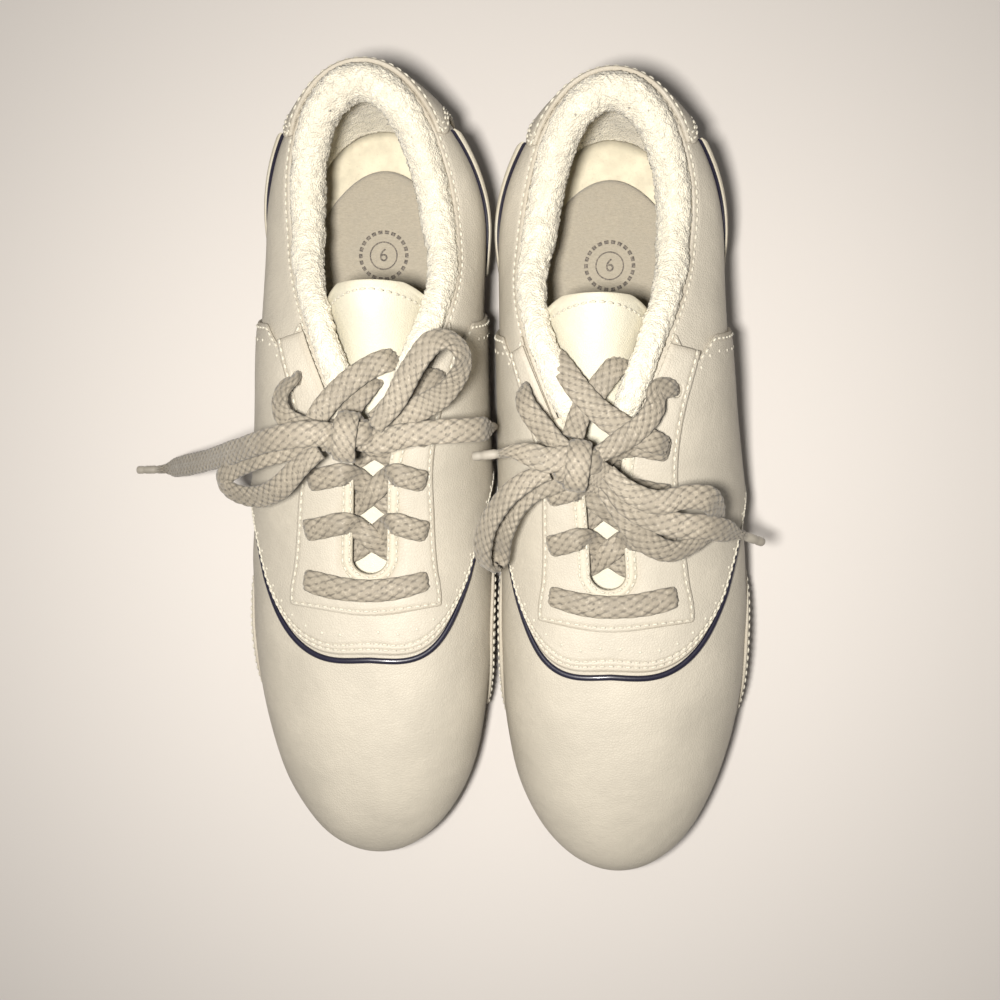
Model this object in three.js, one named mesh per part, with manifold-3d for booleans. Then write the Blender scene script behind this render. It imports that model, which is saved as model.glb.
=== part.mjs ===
// A pair of low lace-up cheer shoes, women's US 6, standing side by side on a floor.
// Millimetres, +Z up, toes towards -Y, the wearer's left shoe on the +X side.
//
// Every panel of a shoe lies on one curved surface, the last. A point of the last is named by
//   s    the place round the shoe: 0 at the toe, +1 or -1 at the back of the heel,
//        positive on the outer side and negative on the inner side
//   v    the height on the wall: 0 at the sole, 1 at the edge of the opening
//   off  the distance outwards from the last
// and each panel is a box of cells whose corners are moved onto that surface.
import * as THREE from 'three';
import { mergeVertices } from 'three/addons/utils/BufferGeometryUtils.js';
import Module from 'manifold-3d';

const wasm = await Module();
wasm.setup();

// ---- driving dimensions ----
const TOE_Y = -127;             // front of the shoe
const HEEL_Y = 131;             // back of the upper
const TOE_LENGTH = 95;          // from the tip to the widest place
const HEEL_ROUND = 47;          // length of the rounded back
const BALL_HALF = 42;           // half width at the ball of the foot
const HEEL_HALF = 36.1;         // half width at the heel
const THROAT_FRONT_Y = -26.7;   // front end of the lace slot
const SLOT_HALF = 7.25;         // half width of the lace slot
const OPENING_HALF = 26.5;      // half width of the foot opening
const SOLE_TOE = 11;            // sole thickness under the toes
const SOLE_HEEL = 21;           // sole thickness under the heel
const TOE_SPRING = 7;           // lift of the toe tip off the floor
const SPRING_LENGTH = 42;       // length of the lifted front
const OUTSOLE = 4.5;            // thickness of the tread layer
const BOARD_INSET = 8.5;        // insole board, inside the outline
const LINER_INSET = 9.2;        // sock liner, inside the outline
const LINER_SHORT = 22;         // how far the sock liner stops before the heel
const LEATHER = 1.3;            // thickness of the lower panels
const OVERLAY = 0.9;            // thickness of the panels sewn over them
const GAP = 0.95;               // between layers, whose facets don't match each other
const LACE_RADIUS = 1.5;
const AGLET_RADIUS = 1.5;
const PIPING_RADIUS = 0.8;
const EYELET_RADIUS = 2;
const SHOE_X = 44;              // ball of the foot to the middle of the pair
const SHOE_STAGGER = 2.2;       // each shoe's step forwards or back
const PAIR_SHIFT = [0, -3.265]; // puts the pair's box on the origin

// Shares of the outline's half length given to the toe curve and to the sides.
const TOE_SHARE = 0.42;
const SIDE_END = 0.76;

// Layers, as distances from the last.
const SKIN = [-LEATHER, 0];
const SIDE_SKIN = [-LEATHER - 0.3, -0.3];
const FIRST = [GAP, GAP + OVERLAY];
const SECOND = [2 * GAP + OVERLAY, 2 * (GAP + OVERLAY)];
const STIFFENER = [-3.6, -2.4];
const LINING = [-6.2, -4.4];

// Heights over the top of the sole.
const BOARD = [1.2, 2.6];
const LINER = [3.6, 5.4];

const COLOUR = {
  leather: 0xd8cfbd, binding: 0xefe6cf, piping: 0x2b2840, terry: 0xf2e9d6, felt: 0xe6dcc6,
  board: 0xcdb892, rubber: 0xbdb6aa, foam: 0xd5cec0, lace: 0xb9ad98, plastic: 0xcfc8b8,
  stiffener: 0xe0dcd2,
};

// ---- small helpers ----
function smooth(a, b, x) {
  const t = Math.min(1, Math.max(0, (x - a) / (b - a)));
  return t * t * (3 - 2 * t);
}

const mix = (a, b, t) => a + (b - a) * t;

function material(colour, roughness) {
  return new THREE.MeshStandardMaterial({ color: COLOUR[colour], roughness, metalness: 0 });
}

// ---- the last ----
const STEP = 0.004;             // share of the last over which a slope is taken
const THROAT_BACK_Y = 86;       // where the opening starts to round the heel

// The middle of the shoe, which bends inwards towards the toe and the heel.
const middleX = (y) => -2.2 * (1 - smooth(-115, -45, y)) - 5.6 * smooth(-30, 95, y);

// A point of the widest outline, seen from above.
function outline(s) {
  const side = s < 0 ? -1 : 1;
  const a = Math.abs(s);
  const sideY = TOE_Y + TOE_LENGTH;
  const backY = HEEL_Y - HEEL_ROUND;
  let y;
  let cap = 1;
  if (a < TOE_SHARE) {
    const angle = (a / TOE_SHARE) * Math.PI / 2;
    y = TOE_Y + TOE_LENGTH * (1 - Math.cos(angle));
    cap = Math.sqrt(1 - Math.cos(angle) ** 2.6);
  } else if (a < SIDE_END) {
    y = mix(sideY, backY, (a - TOE_SHARE) / (SIDE_END - TOE_SHARE));
  } else {
    const angle = (a - SIDE_END) / (1 - SIDE_END) * Math.PI / 2;
    y = backY + HEEL_ROUND * Math.sin(angle);
    cap = Math.cos(angle);
  }
  const half = mix(BALL_HALF, HEEL_HALF, smooth(-32, 70, y));
  return new THREE.Vector2(middleX(y) + side * half * cap, y);
}

// The outward direction of the outline.
function outlineNormal(s) {
  const along = outline(s + STEP).sub(outline(s - STEP)).normalize();
  return new THREE.Vector2(along.y, -along.x);
}

const soleThickness = (y) => mix(SOLE_TOE, SOLE_HEEL, smooth(-30, 75, y));

function spring(y) {
  const t = Math.max(0, (TOE_Y + SPRING_LENGTH - y) / SPRING_LENGTH);
  return TOE_SPRING * t ** 1.7;
}

const soleTop = (y) => soleThickness(y) + spring(y);

// The edge of the opening: round the front end of the lace slot, back along the throat,
// down along the ankle and up again at the heel.
function openingEdge(s) {
  const side = s < 0 ? -1 : 1;
  const a = Math.abs(s);
  const slotY = THROAT_FRONT_Y + SLOT_HALF;
  let x = 0;
  let y;
  if (a < TOE_SHARE) {
    const angle = (a / TOE_SHARE) * Math.PI / 2;
    y = slotY - SLOT_HALF * Math.cos(angle);
    x = SLOT_HALF * Math.sin(angle);
  } else if (a < SIDE_END) {
    y = mix(slotY, THROAT_BACK_Y, (a - TOE_SHARE) / (SIDE_END - TOE_SHARE));
    x = mix(SLOT_HALF, OPENING_HALF, smooth(5, 78, y));
  } else {
    const angle = (a - SIDE_END) / (1 - SIDE_END) * Math.PI / 2;
    y = THROAT_BACK_Y + (HEEL_Y - THROAT_BACK_Y) * Math.sin(angle);
    x = OPENING_HALF * Math.cos(angle);
  }
  const centre = -6.3 - 4.2 * smooth(-30, 40, y) + 4.2 * smooth(50, 105, y);
  const z = 58 + 14 * smooth(-26, 36, y) - 15 * smooth(40, 88, y) + 14 * smooth(90, HEEL_Y, y);
  return new THREE.Vector3(centre + side * x, y, z);
}

// A rib of the last: a cubic curve from the sole edge to the opening edge.
function lastPoint(place, v) {
  const s = place > 1 ? place - 2 : place < -1 ? place + 2 : place;
  const a = Math.abs(s);
  const wide = outline(s);
  const out = outlineNormal(s);
  const rear = smooth(0.5, 0.76, a);
  const back = smooth(0.8, 1, a);
  const toe = 1 - smooth(0.1, 0.4, a);
  const tuck = mix(mix(3, 2.4, toe), 4.6, rear);
  const end = openingEdge(s);
  const start = new THREE.Vector3(wide.x - out.x * tuck, wide.y - out.y * tuck, soleTop(wide.y));
  const flare = mix(mix(11, 13, toe), mix(7, 8, back), rear);
  const rise = mix(mix(20, 22, toe), 22, rear);
  const low = start.clone().add(new THREE.Vector3(out.x * flare, out.y * flare, rise));
  const reach = new THREE.Vector2(wide.x - end.x, wide.y - end.y);
  const span = reach.length();
  const towards = mix(0.6, 1.1, rear);
  const high = new THREE.Vector3(
    end.x + reach.x * towards + out.x * rear * 1.5,
    end.y + reach.y * towards + out.y * rear * 1.5,
    end.z - mix(2 + 0.02 * span, mix(10, 17, back), rear));
  const w = 1 - v;
  return start.multiplyScalar(w ** 3).addScaledVector(low, 3 * w * w * v)
    .addScaledVector(high, 3 * w * v * v).addScaledVector(end, v ** 3);
}

function onLast(s, v, off = 0) {
  const along = lastPoint(s + STEP, v).sub(lastPoint(s - STEP, v));
  const up = lastPoint(s, v + STEP).sub(lastPoint(s, v - STEP));
  return lastPoint(s, v).addScaledVector(along.cross(up).normalize(), off);
}

// ---- making solids ----
// Welds a geometry's corners and turns it the right way out.
function closed(geometry) {
  geometry.deleteAttribute('normal');
  geometry.deleteAttribute('uv');
  const welded = mergeVertices(geometry, 1e-4);
  const position = welded.attributes.position;
  const index = welded.index.array;
  const corner = (i) => new THREE.Vector3().fromBufferAttribute(position, index[i]);
  let volume = 0;
  for (let i = 0; i < index.length; i += 3) {
    volume += corner(i).dot(corner(i + 1).cross(corner(i + 2)));
  }
  if (volume < 0) {
    for (let i = 0; i < index.length; i += 3) {
      [index[i + 1], index[i + 2]] = [index[i + 2], index[i + 1]];
    }
  }
  welded.computeVertexNormals();
  return welded;
}

// A box of cells whose corners go where place(u, t, depth) says, all three from 0 to 1.
function warpedBox(place, cellsU, cellsT, cellsDepth = 1) {
  const geometry = new THREE.BoxGeometry(1, 1, 1, cellsU, cellsT, cellsDepth);
  const position = geometry.attributes.position;
  for (let i = 0; i < position.count; i++) {
    const p = place(position.getX(i) + 0.5, position.getY(i) + 0.5, position.getZ(i) + 0.5);
    position.setXYZ(i, p.x, p.y, p.z);
  }
  return closed(geometry);
}

// A panel of the upper. region(u, t) gives its place [s, v]; layer gives its inner and outer face.
function panel(region, layer, cellsU, cellsT) {
  return warpedBox((u, t, depth) => {
    const [s, v] = region(u, t);
    return onLast(s, v, mix(layer[0], layer[1], depth));
  }, cellsU, cellsT);
}

// A layer under the foot: the outline drawn in by inset(s), between two heights.
function soleLayer(inset, bottom, top, cells = [10, 8], stopY = Infinity) {
  return warpedBox((u, t, depth) => {
    const a = 2 * u - 1;
    const b = 2 * t - 1;
    const x = a * Math.sqrt(1 - b * b / 2);
    const y = b * Math.sqrt(1 - a * a / 2);
    const radius = Math.min(1, Math.hypot(x, y));
    const s = Math.atan2(x, -y) / Math.PI;
    const edge = outline(s).addScaledVector(outlineNormal(s), -inset(s));
    const centre = new THREE.Vector2(middleX(0), 0);
    const p = centre.lerp(edge, radius);
    p.y = Math.min(stopY, p.y);
    return new THREE.Vector3(p.x, p.y, depth < 0.5 ? bottom(p.y) : top(p.y));
  }, cells[0], cells[1]);
}

// A round cord or rod along a curve.
function tube(points, radius, steps, sides = 8) {
  const section = new THREE.Shape();
  for (let i = 0; i < sides; i++) {
    const angle = (i + 0.5) / sides * 2 * Math.PI;
    section[i ? 'lineTo' : 'moveTo'](radius * Math.cos(angle), radius * Math.sin(angle));
  }
  const path = new THREE.CatmullRomCurve3(points.map((p) => new THREE.Vector3(...p)));
  return closed(new THREE.ExtrudeGeometry(section, {
    steps, extrudePath: path, bevelEnabled: false, curveSegments: 1,
  }));
}

function toManifold(geometry) {
  return new wasm.Manifold(new wasm.Mesh({
    numProp: 3,
    vertProperties: new Float32Array(geometry.attributes.position.array),
    triVerts: new Uint32Array(geometry.index.array),
  }));
}

// The geometry with round holes punched through it at the places on the last.
function punched(geometry, places, radius) {
  let solid = toManifold(geometry);
  for (const [s, v] of places) {
    const from = onLast(s, v, -2);
    const to = onLast(s, v, 5);
    const tool = new THREE.CylinderGeometry(radius, radius, from.distanceTo(to), 8);
    tool.applyQuaternion(new THREE.Quaternion().setFromUnitVectors(
      new THREE.Vector3(0, 1, 0), to.clone().sub(from).normalize()));
    const middle = from.lerp(to, 0.5);
    tool.translate(middle.x, middle.y, middle.z);
    solid = solid.subtract(toManifold(closed(tool)));
  }
  const mesh = solid.getMesh();
  const result = new THREE.BufferGeometry();
  result.setAttribute('position', new THREE.BufferAttribute(mesh.vertProperties, 3));
  result.setIndex(new THREE.BufferAttribute(mesh.triVerts, 1));
  return result;
}

// ---- where the panels meet ----
const SADDLE_CORNER = 0.545;    // where the saddle's front edge reaches the sole
const SADDLE_TOP = 0.86;        // height of its front edge over the toes
const PANEL_FOOT = 0.02;        // height of the lower panels' bottom edge
const OVERLAY_TOP = 0.965;      // height of the overlays' top edge along the throat
const VAMP_END = 0.53;          // back end of the vamp, under the saddle
const HEEL_TAB_START = 0.86;    // front edge of the heel tab

// The saddle's front edge, a U drawn over the toes, for an angle from -90 to 90 degrees.
const saddleFront = (angle) => [SADDLE_CORNER * Math.sin(angle), SADDLE_TOP * Math.cos(angle)];

// The outer edge of the stay that carries the eyelets.
const stayEdge = (s) => 0.94 - 0.17 * smooth(0.12, 0.36, Math.abs(s))
  + 0.06 * smooth(0.45, 0.62, Math.abs(s));

const EYELETS = [0.385, 0.46, 0.51, 0.552, 0.605];
const eyeletHeight = (s) => 0.84 + 0.05 * smooth(0.46, 0.6, Math.abs(s));

// ---- the upper ----
function vamp() {
  const lap = 0.03;
  return panel((u, t) => {
    const s = mix(-VAMP_END, VAMP_END, u);
    const top = SADDLE_TOP * Math.sqrt(1 - (s / SADDLE_CORNER) ** 2) + lap;
    return [s, mix(PANEL_FOOT, top, t)];
  }, SKIN, 24, 8);
}

function piping() {
  const reach = 1.25;
  const below = 0.035;
  const height = 1.1;
  const count = 20;
  const points = [];
  for (let i = 0; i <= count; i++) {
    const [s, v] = saddleFront(mix(-reach, reach, i / count));
    points.push(onLast(s, v - below, height).toArray());
  }
  return tube(points, PIPING_RADIUS, 22, 6);
}

function saddle() {
  const share = 0.78;
  const foot = 0.03;
  const rearFoot = 0.7;
  const rearTop = 0.655;
  return panel((u, t) => {
    const w = 2 * u - 1;
    const side = Math.sign(w);
    const a = Math.abs(w);
    let low;
    if (a < share) {
      low = saddleFront(Math.min(1.54, (a / share) * Math.PI / 2));
    } else {
      low = [mix(SADDLE_CORNER, rearFoot, (a - share) / (1 - share)), foot];
    }
    const high = [rearTop * a, OVERLAY_TOP];
    return [side * mix(low[0], high[0], t), mix(Math.max(foot, low[1]), high[1], t)];
  }, FIRST, 26, 8);
}

function eyestay() {
  const end = 0.645;
  const plain = panel((u, t) => {
    const s = mix(-end, end, u);
    return [s, mix(stayEdge(s), OVERLAY_TOP, t)];
  }, SECOND, 24, 2);
  const places = EYELETS.flatMap((s) => [[s, eyeletHeight(s)], [-s, eyeletHeight(s)]]);
  return punched(plain, places, EYELET_RADIUS);
}

function throatBinding() {
  return panel((u, t) => [mix(-0.54, 0.54, u), mix(0.985, 1.035, t)], [GAP, SECOND[1]], 18, 1);
}

function quarter(side) {
  const back = 0.9965;
  return panel((u, t) => [side * mix(SADDLE_CORNER, back, u), mix(PANEL_FOOT, 1, t)],
    SIDE_SKIN, 12, 5);
}

// A panel that reaches as far to both sides of the heel, from start on the outer side.
const heelPanel = (start, bottom, top, layer, cells) => panel(
  (u, t) => [mix(start, 2 - start, u), mix(bottom, top, t)], layer, cells[0], cells[1]);

const heelTab = () => heelPanel(HEEL_TAB_START, 0.04, 0.98, FIRST, [8, 4]);

const heelCounter = () => heelPanel(0.77, 0.06, 0.7, STIFFENER, [12, 3]);

const heelLining = () => heelPanel(0.66, 0.08, 0.66, LINING, [16, 3]);

const toePuff = () => panel((u, t) => [mix(-0.27, 0.27, u), mix(0.06, 0.6, t)], STIFFENER, 10, 4);

// A raised stripe that runs down and forwards from the heel tab.
const sideStripe = (side) => panel((u, t) => {
  const s = mix(0.725, 0.85, u);
  return [side * s, mix(0.16, 0.66, u) + mix(-0.07, 0.07, t)];
}, FIRST, 6, 1);

// A half-moon patch at the ball of the foot, straight along the sole.
const flankPatch = (side) => panel((u, t) => {
  const foot = 0.015;
  const height = 0.05 + 0.2 * Math.sin(Math.PI * mix(0.08, 0.92, u));
  return [side * mix(0.29, 0.455, u), mix(foot, height, t)];
}, FIRST, 10, 2);

// The padded roll round the opening and down both sides of the throat.
function collar() {
  const start = 0.56;
  return warpedBox((u, t, depth) => {
    const s = mix(start, 2 - start, u);
    const place = s > 1 ? s - 2 : s;
    const a = Math.abs(place);
    const edge = openingEdge(place);
    const before = openingEdge(place - STEP);
    const after = openingEdge(place + STEP);
    const inward = new THREE.Vector2(-(after.y - before.y), after.x - before.x).normalize();
    const throat = 1 - smooth(0.62, 0.8, a);
    const round = Math.min(1, 0.35 + 6 * (a - start));
    const halfWide = mix(4.2, 2.9, throat) * round;
    const halfTall = mix(5.6, 3, throat) * round;
    const middle = halfWide + mix(1.9, 1.2, throat);
    const p = 2 * t - 1;
    const q = 2 * depth - 1;
    const wide = p * Math.sqrt(1 - q * q / 2) * halfWide;
    const tall = q * Math.sqrt(1 - p * p / 2) * halfTall;
    return new THREE.Vector3(
      edge.x + inward.x * (middle + wide),
      edge.y + inward.y * (middle + wide),
      edge.z + mix(-2, 0.8, throat) + tall);
  }, 28, 2, 2);
}

// ---- the tongue ----
const TONGUE_BASE_Y = -43;
const TONGUE_TOP_Y = 64;
const TONGUE_X = (y) => -6.3 - 4.2 * smooth(-30, 40, y);

function tonguePoint(across, y, drop) {
  const along = (y - TONGUE_BASE_Y + 1) / (TONGUE_TOP_Y - TONGUE_BASE_Y + 1);
  const half = mix(13.4, 16, smooth(50, 58, y)) * (y > 56 ? Math.sqrt(1 - ((y - 56) / 13) ** 2) : 1);
  const x = across * half;
  const curl = 0.012 + 0.05 * smooth(15, 45, y);
  const crown = 51.5 + 32 * along ** 1.6;
  return new THREE.Vector3(TONGUE_X(y) + x, y, crown - curl * x * x - drop);
}

const tonguePart = (top, bottom, cells) => warpedBox((u, t, depth) => {
  const y = mix(TONGUE_BASE_Y, TONGUE_TOP_Y, t);
  return tonguePoint(2 * u - 1, y, mix(bottom, top, depth));
}, cells[0], cells[1]);

// ---- the sole ----
const soleInset = (s) => mix(mix(1.6, -0.6, 1 - smooth(0.1, 0.35, Math.abs(s))), 4.2,
  smooth(0.42, 0.62, Math.abs(s))) - 1.2 * smooth(0.75, 1, Math.abs(s));

const outsole = () => soleLayer(soleInset, spring, (y) => spring(y) + OUTSOLE);

const midsole = () => soleLayer(soleInset, (y) => spring(y) + OUTSOLE + 2 * GAP,
  (y) => soleTop(y) - GAP);

const insoleBoard = () => soleLayer(() => BOARD_INSET, (y) => soleTop(y) + BOARD[0],
  (y) => soleTop(y) + BOARD[1], [8, 6]);

const sockLiner = () => soleLayer(() => LINER_INSET, (y) => soleTop(y) + LINER[0],
  (y) => soleTop(y) + LINER[1], [8, 6], HEEL_Y - LINER_SHORT);

// ---- the laces ----
// The laced stretch: one zigzag from the top inner eyelet down, across and up to the top outer one.
function lacedStretch() {
  const ride = SECOND[1] + 2.8 * GAP + LACE_RADIUS;
  const lowHump = 2;
  const frontHump = 2.2;
  const highHump = 5.1;
  const points = [];
  const eyelet = (row, side) => onLast(side * EYELETS[row], eyeletHeight(EYELETS[row]), ride);
  const middleOf = (a, b, lift) => {
    const p = a.clone().lerp(b, 0.5);
    return p.setZ(p.z + lift);
  };
  let side = -1;
  let last = null;
  for (let row = 4; row >= 0; row--) {
    const p = eyelet(row, side);
    if (last) points.push(middleOf(last, p, lowHump));
    points.push(p);
    last = p;
    side = -side;
  }
  for (let row = 0; row <= 4; row++) {
    const p = eyelet(row, side);
    points.push(middleOf(last, p, row ? highHump : frontHump));
    points.push(p);
    last = p;
    side = -side;
  }
  return tube(points.map((p) => p.toArray()), LACE_RADIUS, 60);
}

const knot = (size, at) => {
  const ball = new THREE.SphereGeometry(1, 10, 6);
  ball.scale(...size);
  ball.translate(...at);
  return closed(ball);
};

// Hand-set routes of the bow's free strands, in the pair's frame.
const BOWS = {
  right: {
    knot: [-38.5, 20.2, 87],
    loop_a: [[-30, 23, 89], [-24, 30, 92], [-18.5, 39, 95], [-13, 46, 96], [-8, 47, 95],
      [-4.5, 43.5, 93], [-5.5, 38.5, 90], [-10.5, 32.5, 87], [-18.5, 28, 85.5], [-26, 25, 83.5],
      [-31.5, 22.5, 81.8]],
    loop_b: [[-47, 16, 86], [-53.5, 11.5, 84], [-61.5, 5, 78], [-71, 2, 70], [-80, 3.5, 65],
      [-83.5, 7, 64], [-78, 11, 68], [-67.5, 14.5, 76], [-56, 17.5, 80], [-48, 19.5, 81]],
    tail_a: [[-47, 21, 89.5], [-54.5, 20.5, 90], [-65.5, 18.5, 84], [-79.5, 15.5, 68],
      [-95, 13, 46], [-111, 11, 24], [-121, 10, 9], [-127, 9.5, 3.5]],
    tail_b: [[-30, 19, 85.5], [-22, 20.5, 86.5], [-13.5, 21.5, 86.5], [-5.5, 22, 84],
      [-0.5, 22.5, 79], [1, 23, 71], [1, 23.5, 64]],
    aglet_a: [[-127.9, 9.4, 3.2], [-136.5, 9.2, 2.6]],
    aglet_b: [[1, 23.6, 63.2], [1, 24, 50]],
  },
  left: {
    knot: [28, 11.9, 85],
    loop_a: [[19.7, 10, 82.5], [13.5, 7.5, 81.7], [7, 2.5, 79.5], [1.5, -5.5, 74], [-1, -14, 68],
      [0, -19.5, 63], [3.5, -17, 60], [5.5, -9, 67], [9, -1.5, 71], [14.5, 4.5, 74],
      [21, 7, 76.5]],
    loop_b: [[36.5, 10, 87.5], [42.5, 4.5, 88.5], [50.5, 1.5, 87.5], [59, 3, 86], [66, 2, 82],
      [69, -3.5, 73], [66, -9.5, 67.5], [57.5, -14, 69.5], [49.5, -11.5, 74], [43, -4.5, 78],
      [36, 6, 80]],
    tail_a: [[19.5, 13.5, 87], [14.5, 15, 87], [9.5, 16, 84], [6, 15.5, 80]],
    tail_b: [[36.5, 8, 83.5], [42, 1, 82.5], [49.5, -3.5, 81], [57, -5.5, 80], [64.5, -6, 78.5],
      [71.5, -7.5, 72], [78, -9.5, 60]],
    aglet_a: [[5.6, 15.4, 79.4], [-3, 14.5, 76]],
    aglet_b: [[78.7, -9.8, 59], [86, -12.5, 52.5]],
  },
};
const KNOT_SIZE = [7.8, 6, 4.4];

// ---- putting one shoe together ----
const pair = new THREE.Group();

function makeShoe(name, side) {
  const shoe = new THREE.Group();
  const add = (part, geometry, colour, roughness) => {
    if (side < 0) {
      geometry.scale(-1, 1, 1);
      geometry = closed(geometry);
    }
    const mesh = new THREE.Mesh(geometry, material(colour, roughness));
    mesh.name = `${name}_${part}`;
    shoe.add(mesh);
  };
  add('outsole', outsole(), 'rubber', 0.8);
  add('midsole', midsole(), 'foam', 0.8);
  add('insole_board', insoleBoard(), 'board', 0.9);
  add('sock_liner', sockLiner(), 'felt', 0.95);
  add('vamp', vamp(), 'leather', 0.5);
  add('toe_puff', toePuff(), 'stiffener', 0.8);
  add('piping', piping(), 'piping', 0.4);
  add('saddle', saddle(), 'leather', 0.5);
  add('eyestay', eyestay(), 'leather', 0.5);
  add('throat_binding', throatBinding(), 'binding', 0.6);
  add('heel_counter', heelCounter(), 'stiffener', 0.8);
  add('heel_lining', heelLining(), 'terry', 0.95);
  add('heel_tab', heelTab(), 'leather', 0.5);
  add('collar', collar(), 'terry', 0.95);
  add('tongue', tonguePart(0, 1.2, [4, 12]), 'binding', 0.5);
  add('tongue_pad', tonguePart(2.6, 5, [4, 12]), 'foam', 0.9);
  for (const [where, sign] of [['outer', 1], ['inner', -1]]) {
    add(`quarter_${where}`, quarter(sign), 'leather', 0.5);
    add(`side_stripe_${where}`, sideStripe(sign), 'binding', 0.5);
    add(`flank_patch_${where}`, flankPatch(sign), 'leather', 0.5);
  }
  add('lace_laced', lacedStretch(), 'lace', 0.9);
  shoe.position.set(side * SHOE_X, -side * SHOE_STAGGER, 0);
  pair.add(shoe);

  const bow = new THREE.Group();
  const tie = (part, geometry, colour, roughness) => {
    const mesh = new THREE.Mesh(geometry, material(colour, roughness));
    mesh.name = `${name}_${part}`;
    bow.add(mesh);
  };
  const routes = BOWS[name];
  tie('lace_knot', knot(KNOT_SIZE, routes.knot), 'lace', 0.9);
  for (const [part, steps] of [['loop_a', 14], ['loop_b', 14], ['tail_a', 10], ['tail_b', 8]]) {
    tie(`lace_${part}`, tube(routes[part], LACE_RADIUS, steps), 'lace', 0.9);
  }
  for (const part of ['aglet_a', 'aglet_b']) {
    tie(part, tube(routes[part], AGLET_RADIUS, 1), 'plastic', 0.3);
  }
  pair.add(bow);
}

makeShoe('left', 1);
makeShoe('right', -1);
pair.position.set(PAIR_SHIFT[0], PAIR_SHIFT[1], 0);

export default pair;
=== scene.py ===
"""A pair of low lace-up cheer shoes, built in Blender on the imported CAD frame."""

import math

import bmesh
import bpy
import numpy as np
from mathutils import Matrix, Vector, noise


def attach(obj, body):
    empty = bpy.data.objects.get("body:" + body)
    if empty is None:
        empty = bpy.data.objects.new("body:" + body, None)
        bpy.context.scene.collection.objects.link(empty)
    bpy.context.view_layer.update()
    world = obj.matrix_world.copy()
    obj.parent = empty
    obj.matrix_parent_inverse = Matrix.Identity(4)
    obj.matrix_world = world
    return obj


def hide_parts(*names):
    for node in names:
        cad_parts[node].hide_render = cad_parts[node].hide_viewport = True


bl_info = {
    "name": "Cheer shoes",
    "version": (1, 0, 0),
    "blender": (4, 5, 0),
    "location": "3D View > Sidebar > Cheer shoes",
    "description": "Builds a pair of lace-up cheer shoes on their packed frame",
    "category": "Add Mesh",
}

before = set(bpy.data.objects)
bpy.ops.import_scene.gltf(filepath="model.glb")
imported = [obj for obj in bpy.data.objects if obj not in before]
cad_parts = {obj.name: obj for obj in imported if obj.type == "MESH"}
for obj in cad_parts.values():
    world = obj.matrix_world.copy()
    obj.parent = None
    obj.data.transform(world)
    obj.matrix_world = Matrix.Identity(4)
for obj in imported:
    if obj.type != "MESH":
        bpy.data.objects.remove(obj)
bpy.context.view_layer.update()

# ---- the last and what lies on it, in a shoe's own millimetres, as in the CAD ----
MM = 0.001
SHOES = {"left": 1, "right": -1}
TOE_Y, HEEL_Y = -127.0, 131.0
TOE_LENGTH, HEEL_ROUND = 95.0, 47.0
BALL_HALF, HEEL_HALF = 42.0, 36.1
THROAT_FRONT_Y, SLOT_HALF, OPENING_HALF = -26.7, 7.25, 26.5
SOLE_TOE, SOLE_HEEL = 11.0, 21.0
TOE_SPRING, SPRING_LENGTH = 7.0, 42.0
TOE_SHARE, SIDE_END = 0.42, 0.76
SHOE_X, SHOE_STAGGER, PAIR_SHIFT_Y = 44.0, 2.2, -3.265
SADDLE_CORNER, SADDLE_TOP = 0.545, 0.86
VAMP_END = 0.55                 # where the vamp meets the side panels, under the saddle
EYELETS = (0.385, 0.46, 0.51, 0.552, 0.605)
EYELET_RADIUS, DOT_RADIUS = 1.9, 0.62
STAY_FRONT_Y, STAY_FRONT_BOW, STAY_CORNER = THROAT_FRONT_Y - 9.0, 2.6, 0.36
COLLAR_START = 0.56
TONGUE_BASE_Y, TONGUE_TIP_Y, TONGUE_TOP_Y = -43.0, 56.0, 64.0   # the tip rounds off from TIP_Y
SQUEEZE_Y = 60.0                # behind this the sock liner is drawn in to end short
STAMP_RING, STAMP_Y, STAMP_DASHES = 4.4, 81.0, 22
TREAD_PITCH = 3.1
TONGUE_SEAM = 2.9               # from the tongue's edge in to its row of stitches

# Outer faces of the layers of leather, as distances from the last.
SKIN_FACE, OVERLAY_FACE, STAY_FACE, STIFFENER_FACE = 0.0, 1.5, 2.7, -2.2
STITCH_LIFT, DOT_LIFT = 0.22, 0.05
SEAM_DEPTH, SEAM_HALF = 0.34, 0.62      # the groove that a row of stitches draws in
EDGE_FADE = 8.0                         # how far in from an edge its wear reaches

# The camera looks down from over the pair, and one small lamp beside it lights them.
CAMERA_PLACE, CAMERA_TARGET, CAMERA_LENS = (0.0278, 0.012), (-0.0005, -0.005, 0), 38.6
LAMPS = (("Key", (-0.006, 0.002, 0.41), 0.04, 2.65), ("Soft fill", (-0.5, -0.4, 0.9), 0.9, 0.3))
LAMP_COLOUR, WORLD_COLOUR, WORLD_STRENGTH = (1.0, 0.97, 0.93), (1, 0.98, 0.96, 1), 0.16

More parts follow.
